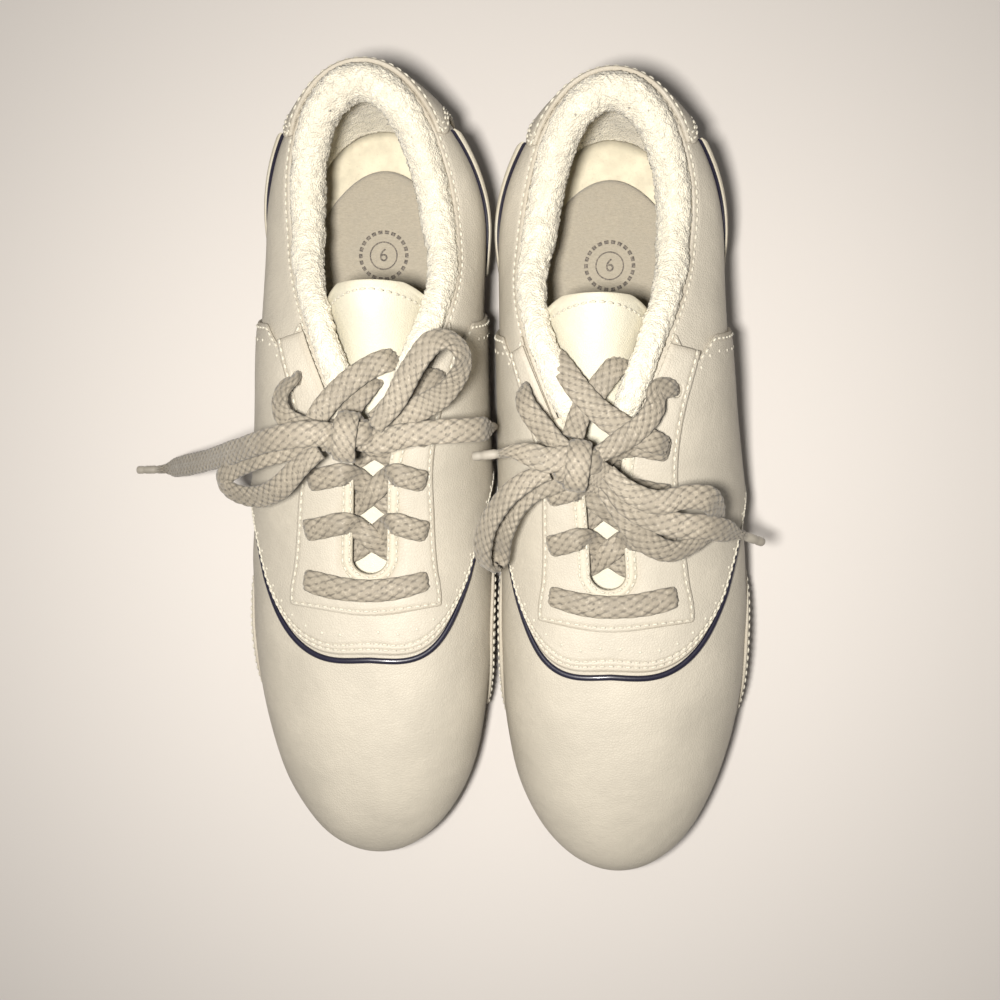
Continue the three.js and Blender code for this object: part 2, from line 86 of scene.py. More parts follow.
# Routes of the bow's strands in the pair's frame before PAIR_SHIFT_Y, as in the CAD.
BOWS = {
    "right": {
        "knot": (-38.5, 20.2, 87),
        "loop_a": [(-30, 23, 89), (-24, 30, 92), (-18.5, 39, 95), (-13, 46, 96), (-8, 47, 95),
                   (-4.5, 43.5, 93), (-5.5, 38.5, 90), (-10.5, 32.5, 87), (-18.5, 28, 85.5),
                   (-26, 25, 83.5), (-31.5, 22.5, 81.8)],
        "loop_b": [(-47, 16, 86), (-53.5, 11.5, 84), (-61.5, 5, 78), (-71, 2, 70), (-80, 3.5, 65),
                   (-83.5, 7, 64), (-78, 11, 68), (-67.5, 14.5, 76), (-56, 17.5, 80),
                   (-48, 19.5, 81)],
        "tail_a": [(-47, 21, 89.5), (-54.5, 20.5, 90), (-65.5, 18.5, 84), (-79.5, 15.5, 68),
                   (-95, 13, 46), (-111, 11, 24), (-121, 10, 9), (-127, 9.5, 3.5)],
        "tail_b": [(-30, 19, 85.5), (-22, 20.5, 86.5), (-13.5, 21.5, 86.5), (-5.5, 22, 84),
                   (-0.5, 22.5, 79), (1, 23, 71), (1, 23.5, 64)],
        "aglet_a": [(-127.9, 9.4, 3.2), (-136.5, 9.2, 2.6)],
        "aglet_b": [(1, 23.6, 63.2), (1, 24, 50)],
        "through_a": [(-38.5, 20.2, 84.5)],
        "through_b": [(-38.5, 20.2, 83)],
    },
    "left": {
        "knot": (28, 11.9, 85),
        "loop_a": [(19.7, 10, 82.5), (13.5, 7.5, 81.7), (7, 2.5, 79.5), (1.5, -5.5, 74),
                   (-1, -14, 68), (0, -19.5, 63), (3.5, -17, 60), (5.5, -9, 67), (9, -1.5, 71),
                   (14.5, 4.5, 74), (21, 7, 76.5)],
        "loop_b": [(36.5, 10, 87.5), (42.5, 4.5, 88.5), (50.5, 1.5, 87.5), (59, 3, 86),
                   (66, 2, 82), (69, -3.5, 73), (66, -9.5, 67.5), (57.5, -14, 69.5),
                   (49.5, -11.5, 74), (43, -4.5, 78), (36, 6, 80)],
        "tail_a": [(19.5, 13.5, 87), (14.5, 15, 87), (9.5, 16, 84), (6, 15.5, 80)],
        "tail_b": [(36.5, 8, 83.5), (42, 1, 82.5), (49.5, -3.5, 81), (57, -5.5, 80),
                   (64.5, -6, 78.5), (71.5, -7.5, 72), (78, -9.5, 60)],
        "aglet_a": [(5.6, 15.4, 79.4), (-3, 14.5, 76)],
        "aglet_b": [(78.7, -9.8, 59), (86, -12.5, 52.5)],
        "through_a": [(27, 9.5, 79.5), (31, 12.5, 83), (27, 14, 86.5)],
        "through_b": [(29.5, 8, 81), (28, 11, 83.5), (31.5, 10.5, 84.5)],
    },
}


def smooth(a, b, x):
    t = np.clip((x - a) / (b - a), 0, 1)
    return t * t * (3 - 2 * t)


def mix(a, b, t):
    return a + (b - a) * t


def unit(vectors):
    return vectors / np.maximum(np.linalg.norm(vectors, axis=-1, keepdims=True), 1e-9)


def middle_x(y):
    """The middle of a shoe, which bends inwards towards the toe and the heel."""
    return -2.2 * (1 - smooth(-115, -45, y)) - 5.6 * smooth(-30, 95, y)


def outline(s):
    """The widest outline, seen from above, at s from -1 to 1 round the shoe."""
    s = np.asarray(s, float)
    a = np.abs(s)
    toe = np.minimum(a / TOE_SHARE, 1) * np.pi / 2
    heel = np.maximum((a - SIDE_END) / (1 - SIDE_END), 0) * np.pi / 2
    side_y, back_y = TOE_Y + TOE_LENGTH, HEEL_Y - HEEL_ROUND
    along = mix(side_y, back_y, (a - TOE_SHARE) / (SIDE_END - TOE_SHARE))
    y = np.where(a < TOE_SHARE, TOE_Y + TOE_LENGTH * (1 - np.cos(toe)),
                 np.where(a < SIDE_END, along, back_y + HEEL_ROUND * np.sin(heel)))
    cap = np.where(a < TOE_SHARE, np.sqrt(1 - np.cos(toe) ** 2.6), np.cos(heel))
    half = mix(BALL_HALF, HEEL_HALF, smooth(-32, 70, y))
    return np.stack([middle_x(y) + np.where(s < 0, -1, 1) * half * cap, y], -1)


def outline_normal(s):
    along = unit(outline(np.asarray(s) + 0.004) - outline(np.asarray(s) - 0.004))
    return np.stack([along[..., 1], -along[..., 0]], -1)


def spring(y):
    return TOE_SPRING * np.maximum(0, (TOE_Y + SPRING_LENGTH - y) / SPRING_LENGTH) ** 1.7


def sole_top(y):
    return mix(SOLE_TOE, SOLE_HEEL, smooth(-30, 75, y)) + spring(y)


def opening_edge(s):
    """The edge of the opening: round the lace slot, along the throat and round the ankle."""
    s = np.asarray(s, float)
    a = np.abs(s)
    slot_y, back_y = THROAT_FRONT_Y + SLOT_HALF, 86.0
    toe = np.minimum(a / TOE_SHARE, 1) * np.pi / 2
    heel = np.maximum((a - SIDE_END) / (1 - SIDE_END), 0) * np.pi / 2
    along = mix(slot_y, back_y, (a - TOE_SHARE) / (SIDE_END - TOE_SHARE))
    y = np.where(a < TOE_SHARE, slot_y - SLOT_HALF * np.cos(toe),
                 np.where(a < SIDE_END, along, back_y + (HEEL_Y - back_y) * np.sin(heel)))
    x = np.where(a < TOE_SHARE, SLOT_HALF * np.sin(toe),
                 np.where(a < SIDE_END, mix(SLOT_HALF, OPENING_HALF, smooth(5, 78, y)),
                          OPENING_HALF * np.cos(heel)))
    centre = -6.3 - 4.2 * smooth(-30, 40, y) + 4.2 * smooth(50, 105, y)
    z = 58 + 14 * smooth(-26, 36, y) - 15 * smooth(40, 88, y) + 14 * smooth(90, HEEL_Y, y)
    return np.stack([centre + np.where(s < 0, -1, 1) * x, y, z], -1)


def last_point(place, v):
    """A rib of the last: a cubic curve from the sole edge, v = 0, to the opening edge, v = 1."""
    place, v = np.broadcast_arrays(np.asarray(place, float), np.asarray(v, float))
    s = np.where(place > 1, place - 2, np.where(place < -1, place + 2, place))
    a = np.abs(s)
    wide, out, end = outline(s), outline_normal(s), opening_edge(s)
    rear, back, toe = smooth(0.5, 0.76, a), smooth(0.8, 1, a), 1 - smooth(0.1, 0.4, a)
    tuck = mix(mix(3, 2.4, toe), 4.6, rear)
    start = np.concatenate([wide - out * tuck[..., None], sole_top(wide[..., 1])[..., None]], -1)
    flare = mix(mix(11, 13, toe), mix(7, 8, back), rear)
    rise = mix(mix(20, 22, toe), 22, rear)
    low = start + np.concatenate([out * flare[..., None], rise[..., None]], -1)
    reach = wide - end[..., :2]
    span = np.linalg.norm(reach, axis=-1)
    plan = end[..., :2] + reach * mix(0.6, 1.1, rear)[..., None] + out * (rear * 1.5)[..., None]
    drop = mix(2 + 0.02 * span, mix(10, 17, back), rear)
    high = np.concatenate([plan, (end[..., 2] - drop)[..., None]], -1)
    w, v = (1 - v)[..., None], v[..., None]
    return start * w ** 3 + low * 3 * w * w * v + high * 3 * w * v * v + end * v ** 3


def last_normal(s, v):
    step = 0.004
    along = last_point(s + step, v) - last_point(s - step, v)
    up = last_point(s, v + step) - last_point(s, v - step)
    return unit(np.cross(along, up))


def on_last(s, v, off=0.0):
    s, v = np.asarray(s, float), np.asarray(v, float)
    return last_point(s, v) + last_normal(s, v) * np.asarray(off, float)[..., None]


def in_pair(points, side):
    """A shoe's own millimetres as metres in the pair's frame."""
    p = np.asarray(points, float)
    return np.stack([side * (SHOE_X + p[..., 0]), p[..., 1] - side * SHOE_STAGGER + PAIR_SHIFT_Y,
                     p[..., 2]], -1) * MM


def strand(points):
    """A bow's route as metres in the pair's frame."""
    return (np.array(points, float) + (0, PAIR_SHIFT_Y, 0)) * MM


def turned(vectors, side):
    """A shoe's own directions as directions in the pair's frame."""
    return vectors * (side, 1, 1)


def waves(points, size, seed=0.0):
    """Smooth noise from -1 to 1 at each point, with lumps about size across."""
    flat = points.reshape(-1, 3) / size + seed
    return np.array([noise.noise(Vector(p)) for p in flat]).reshape(points.shape[:-1])


def nubs(points, size):
    """Rounded lumps from 0 to 1, each about size across."""
    flat = points.reshape(-1, 3) / size
    near = [noise.voronoi(Vector(p))[0][0] for p in flat]
    return np.clip(1 - np.array(near), 0, 1).reshape(points.shape[:-1])


# ---- materials ----
class Value:
    """A node's output. Arithmetic on it adds Math nodes."""

    def __init__(self, paint, socket):
        self.paint, self.socket = paint, socket

    def _math(self, operation, a, b):
        return self.paint.node("ShaderNodeMath", {"operation": operation}, {0: a, 1: b})

    def __add__(self, other):
        return self._math("ADD", self, other)

    def __sub__(self, other):
        return self._math("SUBTRACT", self, other)

    def __rsub__(self, other):
        return self._math("SUBTRACT", other, self)

    def __mul__(self, other):
        return self._math("MULTIPLY", self, other)

    __radd__, __rmul__ = __add__, __mul__

    def above(self, low, high):
        """0 under low, 1 over high, smooth between."""
        return self.paint.node("ShaderNodeMapRange", {"interpolation_type": "SMOOTHSTEP"},
                               {0: self, 1: low, 2: high})


class Paint:
    """A material and the short ways to add its nodes."""

    def __init__(self, name, **constants):
        self.material = bpy.data.materials.new(name)
        self.material.use_nodes = True
        self.tree = self.material.node_tree
        self.shader = self.tree.nodes["Principled BSDF"]
        self.set(**constants)

    def put(self, socket, value):
        if isinstance(value, Value):
            self.tree.links.new(value.socket, socket)
        elif socket.type == "RGBA" and len(value) == 3:
            socket.default_value = (*value, 1)
        else:
            socket.default_value = value

    def set(self, **sockets):
        for name, value in sockets.items():
            self.put(self.shader.inputs[name.replace("_", " ")], value)

    def node(self, kind, settings=None, inputs=None, output=0):
        made = self.tree.nodes.new(kind)
        for key, value in (settings or {}).items():
            setattr(made, key, value)
        for key, value in (inputs or {}).items():
            self.put(made.inputs[key], value)
        return Value(self, made.outputs[output])

    def place(self):
        return self.node("ShaderNodeTexCoord", output="Object")

    def noise(self, size, detail=3.0, at=None, roughness=0.55):
        return self.node("ShaderNodeTexNoise", None, {
            "Vector": at or self.place(), "Scale": 1 / size, "Detail": detail,
            "Roughness": roughness})

    def cells(self, size, feature="F1", at=None):
        return self.node("ShaderNodeTexVoronoi", {"feature": feature},
                         {"Vector": at or self.place(), "Scale": 1 / size})

    def blend(self, factor, a, b):
        return self.node("ShaderNodeMix", {"data_type": "RGBA"}, {0: factor, 6: a, 7: b}, 2)

    def saved(self, name):
        """A value kept on the mesh's points."""
        return self.node("ShaderNodeAttribute", {"attribute_name": name}, output="Fac")

    def bump(self, height, depth, strength=1.0, under=None):
        inputs = {"Height": height, "Distance": depth, "Strength": strength}
        if under:
            inputs["Normal"] = under
        return self.node("ShaderNodeBump", None, inputs)


def shade(colour, factor):
    return tuple(c * factor for c in colour)


def leather(name, colour, grain=0.0009):
    """Smooth coated leather: fine pores, soft mottling, grime in the seams and rubbed edges."""
    p = Paint(name, Specular_IOR_Level=0.35, Coat_Roughness=0.5)
    mottle = p.noise(0.022, 4)
    fine = p.noise(0.0016, 5, roughness=0.7)
    pores = p.cells(grain, "DISTANCE_TO_EDGE").above(0.0, 0.22)
    edge = p.saved("edge")
    grime = (1 - edge.above(0.0, 0.45)) * mottle.above(0.35, 0.62)
    scuff = p.noise(0.006, 6, roughness=0.75).above(0.63, 0.76) * mottle.above(0.4, 0.7)
    tone = p.blend(mottle.above(0.3, 0.7), shade(colour, 0.93), shade(colour, 1.04))
    tone = p.blend(fine.above(0.35, 0.7) * 0.22, tone, shade(colour, 0.84))
    tone = p.blend(grime * 0.4, tone, (colour[0] * 0.62, colour[1] * 0.57, colour[2] * 0.5))
    tone = p.blend(scuff * 0.16, tone, shade(colour, 0.68))
    creases = p.noise(0.0048, 2, roughness=0.4)
    under = p.bump(creases, 0.0006, 0.35)
    p.set(Base_Color=tone, Coat_Weight=0.1 - 0.07 * grime,
          Roughness=0.5 + 0.12 * fine + 0.18 * scuff + 0.12 * grime,
          Normal=p.bump(pores * 0.6 + fine * 0.5, 0.00022, 0.5, under))
    return p.material


def thread(name, colour):
    """Waxed sewing thread with a fine mottle of darker strands."""
    p = Paint(name, Sheen_Weight=0.2, Roughness=0.62)
    strands = p.noise(0.0005, 2)
    p.set(Base_Color=p.blend(strands.above(0.35, 0.65), shade(colour, 0.8), colour),
          Normal=p.bump(strands, 0.0002, 0.6))
    return p.material


def terry(name, colour, fibre=0.0006):
    """Looped towelling with pilled tufts and painted shade in the pile's hollows, rubbed grey and
    caught with lint where it is worn.
    """
    p = Paint(name, Sheen_Weight=0.3, Sheen_Roughness=0.5, Roughness=0.96)
    tufts = p.cells(fibre)
    clumps = p.noise(0.003, 4, roughness=0.7)
    broad = p.noise(0.02, 3)
    wear = p.saved("wear")
    lint = (1 - p.cells(0.0026).above(0.1, 0.2)) * p.noise(0.008, 2).above(0.44, 0.56)
    # Painted light and shade: lighter on the raised clumps and darker in the gaps between the
    # tufts, as the bump below rises and falls.
    tone = p.blend(clumps.above(0.3, 0.7), shade(colour, 0.76), shade(colour, 1.05))
    tone = p.blend(tufts.above(0.25, 0.75) * 0.5, tone, shade(colour, 0.62))
    tone = p.blend(wear * broad.above(0.32, 0.7) * 0.5, tone, (0.44, 0.40, 0.33))
    tone = p.blend(lint * wear * 0.9, tone, (0.045, 0.042, 0.05))
    p.set(Base_Color=tone, Normal=p.bump(clumps - tufts * 0.8, 0.001, 0.6))
    return p.material


def felt(name, colour):
    """Pressed felt with crossing fibres, greyed underfoot."""
    p = Paint(name, Sheen_Weight=0.3, Roughness=0.95)
    stretched = p.node("ShaderNodeMapping", None,
                       {"Vector": p.place(), "Rotation": (0, 0, 0.6), "Scale": (1, 3.2, 1)})
    fibres = p.noise(0.0013, 6, at=stretched, roughness=0.75)
    fuzz = p.noise(0.0007, 4, roughness=0.8)
    worn = p.noise(0.014, 5, roughness=0.65).above(0.47, 0.68) * p.saved("wear")
    tone = p.blend(fibres.above(0.3, 0.7), shade(colour, 0.84), shade(colour, 1.04))
    tone = p.blend(fuzz.above(0.5, 0.7) * 0.35, tone, shade(colour, 0.7))
    tone = p.blend(worn * 0.5, tone, (0.36, 0.33, 0.27))
    p.set(Base_Color=tone, Normal=p.bump(fibres + fuzz * 0.7, 0.0005, 0.7))
    return p.material


def board(name, colour):
    """Smooth pressed board, slightly stained."""
    p = Paint(name)
    stain = p.noise(0.011, 5, roughness=0.6)
    flecks = p.noise(0.0009, 3)
    tone = p.blend(stain.above(0.35, 0.68), colour, shade(colour, 0.78))
    p.set(Base_Color=p.blend(flecks.above(0.6, 0.7) * 0.3, tone, shade(colour, 0.6)),
          Roughness=0.7 + 0.15 * flecks, Normal=p.bump(flecks, 0.00015, 0.5))
    return p.material


def rubber(name, colour):
    """Foamed sole rubber, dusty in its pores and scuffed in scattered patches."""
    p = Paint(name)
    dust = p.noise(0.007, 5, roughness=0.7)
    pits = p.noise(0.0011, 4, roughness=0.7)
    scuffs = p.noise(0.0035, 6, roughness=0.8).above(0.58, 0.72)
    tone = p.blend(dust.above(0.35, 0.7), colour, shade(colour, 0.8))
    tone = p.blend(pits.above(0.55, 0.72) * 0.5, tone, shade(colour, 0.55))
    tone = p.blend(scuffs * 0.45, tone, shade(colour, 0.42))
    p.set(Base_Color=tone, Roughness=0.68 + 0.2 * pits, Normal=p.bump(pits, 0.0004, 0.6))
    return p.material


def braid(name, colour):
    """Flat braided cord: painted highlights on the strands over painted shade in the hollows, with
    fine threads along each.
    """
    p = Paint(name, Sheen_Weight=0.15, Sheen_Roughness=0.5, Specular_IOR_Level=0.5)
    along = p.node("ShaderNodeUVMap", {"uv_map": "UVMap"})
    fine = p.node("ShaderNodeTexWave", {"wave_type": "BANDS", "bands_direction": "DIAGONAL"},
                  {"Vector": along, "Scale": 4.2, "Distortion": 0.8, "Detail": 1.0})
    height = p.saved("relief")
    soil = p.noise(0.009, 4)
    glints = p.noise(0.0011, 3, roughness=0.6)
    # Painted shade: the colour darkens with the braid's relief and is deepest in the hollows
    # between strands.
    tone = p.blend(height.above(0.1, 0.72), shade(colour, 0.36), colour)
    # Painted highlights: lighter glints where the strands stand highest.
    tone = p.blend(glints.above(0.5, 0.7) * height * 0.85, tone,
                   (min(colour[0] * 1.5, 0.9), min(colour[1] * 1.5, 0.86), colour[2] * 1.5))
    tone = p.blend(soil.above(0.42, 0.7) * 0.4, tone, shade(colour, 0.68))
    p.set(Base_Color=tone, Roughness=0.72 - 0.22 * glints.above(0.5, 0.7),
          Normal=p.bump(fine * 0.5 + glints * 0.8, 0.0002, 0.5))
    return p.material


def gloss(name, colour, roughness, coat):
    """Hard coated finish with faint streaks: piping and moulded tips."""
    p = Paint(name, Coat_Roughness=0.15)
    streaks = p.noise(0.0012, 4, roughness=0.7)
    broad = p.noise(0.006, 2)
    p.set(Base_Color=p.blend(broad.above(0.35, 0.7), colour, shade(colour, 0.8)),
          Roughness=roughness + 0.18 * streaks, Coat_Weight=coat * (1 - 0.4 * streaks),
          Normal=p.bump(streaks, 0.00012, 0.4))
    return p.material


def ink(name, colour):
    """Worn stamping ink, broken where the fibres show through."""
    p = Paint(name, Roughness=0.9)
    gaps = p.noise(0.0007, 4, roughness=0.8)
    p.set(Base_Color=p.blend(gaps.above(0.42, 0.6), colour, (0.24, 0.21, 0.17)))
    return p.material


def floor_paint(name, colour):
    p = Paint(name, Roughness=0.85)
    cloud = p.noise(0.3, 2)
    p.set(Base_Color=p.blend(cloud, colour, shade(colour, 0.97)))
    return p.material


# ---- making meshes ----
def keep(obj, body, material, nodes=()):
    """Finishes a piece: its material, the body that carries it and the CAD nodes it stands for."""
    obj.data.materials.append(material)
    for face in obj.data.polygons:
        face.use_smooth = True
    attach(obj, body)
    if nodes:
        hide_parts(*nodes)
    return obj


def from_bmesh(name, bm):
    mesh = bpy.data.meshes.new(name)
    bm.to_mesh(mesh)
    bm.free()
    obj = bpy.data.objects.new(name, mesh)
    bpy.context.scene.collection.objects.link(obj)
    return obj


def grid_mesh(points, values=None, uv=None, outward=None, closed=False):
    """A bmesh grid moved onto points[i, j]. values are kept on the points, uv is in units of
    length, outward says which way the faces look, and closed joins it into one shell."""
    across, along = points.shape[0] - 1, points.shape[1] - 1
    bm = bmesh.new()
    bmesh.ops.create_grid(bm, x_segments=across, y_segments=along, size=0.5)
    layers = {key: bm.verts.layers.float.new(key) for key in values or {}}
    sheet = bm.loops.layers.uv.new("UVMap")
    for vert in bm.verts:
        i, j = round((vert.co.x + 0.5) * across), round((vert.co.y + 0.5) * along)
        vert.index = i * (along + 1) + j
        vert.co = points[i, j]
        for key, layer in layers.items():
            vert[layer] = values[key][i, j]
    if uv is not None:
        for face in bm.faces:
            for loop in face.loops:
                i, j = divmod(loop.vert.index, along + 1)
                loop[sheet].uv = uv[i, j]
    if closed:
        bmesh.ops.remove_doubles(bm, verts=bm.verts, dist=1e-6)
        bmesh.ops.recalc_face_normals(bm, faces=bm.faces)
    elif outward is not None:
        bm.normal_update()
        middle = bm.faces[:][len(bm.faces) // 2]
        centre = middle.calc_center_median()
        gap = np.linalg.norm(points - np.array(centre), axis=-1)
        if middle.normal.dot(Vector(outward[np.unravel_index(gap.argmin(), gap.shape)])) < 0:
            bmesh.ops.reverse_faces(bm, faces=bm.faces)
    return bm


def thicken(obj, thickness, levels=1, offset=-1):
    wall = obj.modifiers.new("Wall", "SOLIDIFY")
    wall.thickness, wall.offset = thickness * MM, offset
    if levels:
        soft = obj.modifiers.new("Soften", "SUBSURF")
        soft.levels = soft.render_levels = levels
    return obj


def dense_ends(count):
    """Steps from 0 to 1 that are closer together at both ends."""
    w = np.linspace(0, 1, count + 1)
    return 0.35 * w + 0.65 * (0.5 - 0.5 * np.cos(np.pi * w))


class Panel:
    """A piece of leather on the last. It knows each point's distance from its four edges."""

    def __init__(self, region, face, cells, seams=None, skive=0.55, soft=0.22, seed=0.0):
        u, t = np.meshgrid(dense_ends(cells[0]), dense_ends(cells[1]), indexing="ij")
        s, v = region(u, t)
        self.normal = last_normal(s, v)
        base = last_point(s, v) + self.normal * face
        steps_t = np.linalg.norm(np.diff(base, axis=1), axis=-1)
        steps_u = np.linalg.norm(np.diff(base, axis=0), axis=-1)
        low = np.concatenate([np.zeros((len(u), 1)), np.cumsum(steps_t, 1)], 1)
        start = np.concatenate([np.zeros((1, t.shape[1])), np.cumsum(steps_u, 0)], 0)
        self.far = {"low": low, "high": low[:, -1:] - low,
                    "start": start, "end": start[-1:] - start}
        self.edge = np.minimum.reduce(list(self.far.values()))
        lift = -skive * np.exp(-(self.edge / 0.7) ** 2)
        for side, insets in (seams or {}).items():
            for inset in insets:
                lift -= SEAM_DEPTH * np.exp(-((self.far[side] - inset) / SEAM_HALF) ** 2)
        lift += soft * waves(base, 17.0, seed) * np.minimum(self.edge / 6, 1)
        self.points = base + self.normal * lift[..., None]

    def line(self, side, inset):
        """Points and outward directions of the line that runs inset inside an edge."""
        far, points, normal = self.far[side], self.points, self.normal
        if side in ("start", "end"):
            far, points, normal = far.T, points.swapaxes(0, 1), normal.swapaxes(0, 1)
        if side in ("high", "end"):
            far, points, normal = far[:, ::-1], points[:, ::-1], normal[:, ::-1]
        pick = [i for i in range(len(far)) if far[i, -1] > inset * 1.6]

        def across(values):
            return np.array([[np.interp(inset, far[i], values[i, :, k]) for k in range(3)]
                             for i in pick])
        return across(points), across(normal)

    def make(self, name, side, thickness):
        bm = grid_mesh(in_pair(self.points, side), {"edge": np.minimum(self.edge / EDGE_FADE, 1)},
                       outward=turned(self.normal, side))
        return thicken(from_bmesh(name, bm), thickness)


def spaced(points, normals, pitch):
    """Places at an even pitch along a line: middle, direction along, direction outwards."""
    gone = np.concatenate([[0], np.cumsum(np.linalg.norm(np.diff(points, axis=0), axis=1))])
    count = max(1, int(gone[-1] / pitch))
    where = (np.arange(count) + 0.5) * gone[-1] / count

    def at(values, place):
        return np.stack([np.interp(place, gone, values[:, k]) for k in range(3)], -1)
    ahead = at(points, np.minimum(where + 0.4, gone[-1])) - at(points, np.maximum(where - 0.4, 0))
    return at(points, where), unit(ahead), unit(at(normals, where))


def frames(line, side, pitch, lift):
    """Matrices at an even pitch along a line on a shoe: x along it and z outwards."""
    centres, along, out = spaced(*line, pitch)
    made = []
    for centre, a, o in zip(in_pair(centres + out * lift, side), turned(along, side),
                            turned(out, side)):
        turn = Matrix((a, unit(np.cross(o, a)), o)).transposed().to_4x4()
        made.append(Matrix.Translation(centre) @ turn)
    return made


def repeated(name, make, matrices):
    """One object with a small shape, made by make(bm), at every matrix."""
    small = bmesh.new()
    make(small)
    shape = bpy.data.meshes.new("small")
    small.to_mesh(shape)
    small.free()
    corners = np.array([(*vert.co, 1.0) for vert in shape.vertices])
    bm = bmesh.new()
    for matrix in matrices:
        shape.vertices.foreach_set("co", (corners @ np.array(matrix).T)[:, :3].ravel())
        bm.from_mesh(shape)
    bpy.data.meshes.remove(shape)
    return from_bmesh(name, bm)


def stitches(name, sizes, matrices):
    """Short raised stitches."""
    size = Matrix.Diagonal((sizes.stitch_length / 2, sizes.thread_radius, sizes.thread_radius, 1))
    return repeated(name, lambda bm: bmesh.ops.create_uvsphere(
        bm, u_segments=6, v_segments=4, radius=1, matrix=size), matrices)


def perforations(name, matrices):
    """Shallow rims of perforations."""
    return repeated(name, lambda bm: bmesh.ops.create_cone(
        bm, cap_ends=True, segments=10, radius1=DOT_RADIUS * MM, radius2=DOT_RADIUS * 0.6 * MM,
        depth=0.3 * MM), matrices)


def closed_tube(name, rings, values=None, uv=None):
    """A shell through rings[i, j]: i along the tube and j round it, the last j on the first."""
    ends = [np.repeat(ring.mean(0, keepdims=True), rings.shape[1], 0)
            for ring in (rings[0], rings[-1])]
    rings = np.concatenate([ends[:1], rings, ends[1:]])
    if values:
        values = {key: np.concatenate([v[:1], v, v[-1:]]) for key, v in values.items()}
    if uv is not None:
        uv = np.concatenate([uv[:1], uv, uv[-1:]])
    return from_bmesh(name, grid_mesh(rings, values, uv, closed=True))


def catmull(points, count):
    """Points evenly spaced along a smooth curve through the given ones."""
    p = np.asarray(points, float)
    padded = np.concatenate([[2 * p[0] - p[1]], p, [2 * p[-1] - p[-2]]])
    curve = []
    for k in range(1, len(padded) - 2):
        a, b, c, d = padded[k - 1:k + 3]
        t = np.linspace(0, 1, 24, endpoint=False)[:, None]
        curve.append(0.5 * (2 * b + (c - a) * t + (2 * a - 5 * b + 4 * c - d) * t ** 2
                            + (3 * b - 3 * c + d - a) * t ** 3))
    curve = np.concatenate([*curve, p[-1:]])
    gone = np.concatenate([[0], np.cumsum(np.linalg.norm(np.diff(curve, axis=0), axis=1))])
    even = np.linspace(0, gone[-1], count)
    return np.stack([np.interp(even, gone, curve[:, k]) for k in range(curve.shape[1])], -1)


def path_length(points):
    return float(np.linalg.norm(np.diff(points, axis=0), axis=1).sum())


LACE_STEP, PINCH_REACH, UV_UNIT = 0.0005, 0.0072, 0.004


def ribbon(name, route, facing, sizes, pinch=(0.0, 0.0), side_cells=18):
    """A flat braided lace along a route in metres. facing holds, for each point of the route,
    the direction its flat face looks. pinch narrows its two ends. Returns it and its path."""
    route, facing = np.asarray(route, float), np.asarray(facing, float)
    rough_length = path_length(catmull(route, 200))
    count = max(12, int(rough_length / LACE_STEP))
    both = catmull(np.concatenate([route, facing * 0.02], 1), count)
    path, face = both[:, :3], both[:, 3:]
    along = unit(np.gradient(path, axis=0))
    face = unit(face - along * (face * along).sum(1, keepdims=True))
    across = unit(np.cross(along, face))
    length = path_length(path)
    gone = np.linspace(0, length, count)
    half = sizes.lace_width / 2
    thick = sizes.lace_thickness / 2
    from_start, from_end = gone / PINCH_REACH, (length - gone) / PINCH_REACH
    narrow = 1 - pinch[0] * np.exp(-from_start ** 2) - pinch[1] * np.exp(-from_end ** 2)
    narrow *= 1 + 0.035 * np.sin(gone / 0.0061 + 2.0) + 0.02 * np.sin(gone / 0.0023)
    # Once round the section: across the top face, down one edge, back under and up the other.
    turn = np.linspace(0, 2 * np.pi, 2 * side_cells + 9)
    wide = np.sign(np.cos(turn)) * np.abs(np.cos(turn)) ** 0.75
    tall = np.sign(np.sin(turn)) * np.abs(np.sin(turn)) ** 0.6
    x = wide[None] * half * narrow[:, None]
    pitch = sizes.braid_pitch
    down = gone[:, None] / pitch * np.pi
    over = wide[None] * half / pitch * np.pi * 1.35
    relief = np.abs(np.sin(down + over) * np.sin(down - over)) ** 0.42
    relief = relief * (0.35 + 0.65 * np.abs(tall[None]))
    swell = 1 + 0.3 * (1 / np.maximum(narrow, 0.3) - 1)
    y = tall[None] * thick * swell[:, None] * (0.56 + 0.6 * relief)
    x = x * (0.95 + 0.07 * relief)
    rings = (path[:, None] + across[:, None] * x[..., None] + face[:, None] * y[..., None])
    uv = np.stack([np.broadcast_to(wide[None] * half, x.shape),
                   np.broadcast_to(gone[:, None], x.shape)], -1) / UV_UNIT
    return closed_tube(name, rings, {"relief": relief}, uv), path


# ---- settings ----
def length_property(name, description, default, least):
    return bpy.props.FloatProperty(name=name, description=description, default=default,
                                   min=least, unit="LENGTH")


class CheerShoeSizes(bpy.types.PropertyGroup):
    """Sizes of the sewn and braided parts."""
    stitch_length: length_property("Stitch length", "Length of one stitch", 0.00215, 0.0005)
    stitch_pitch: length_property("Stitch pitch", "From one stitch to the next", 0.0027, 0.001)
    thread_radius: length_property("Thread radius", "Radius of the sewing thread", 0.0004, 0.0001)
    lace_width: length_property("Lace width", "Width of the flat lace", 0.0075, 0.002)
    lace_thickness: length_property("Lace thickness", "Thickness of the lace", 0.0022, 0.0005)
    braid_pitch: length_property("Braid pitch", "Length of one diamond of the braid", 0.0034,
                                 0.0005)
    piping_radius: length_property("Piping radius", "Radius at the middle of the arc", 0.001,
                                   0.0002)
    camera_height: length_property("Camera height", "Height over the floor", 0.394, 0.1)


def colour_property(name, description, default):
    return bpy.props.FloatVectorProperty(name=name, description=description, default=default,
                                         subtype="COLOR", size=3, min=0, max=1)


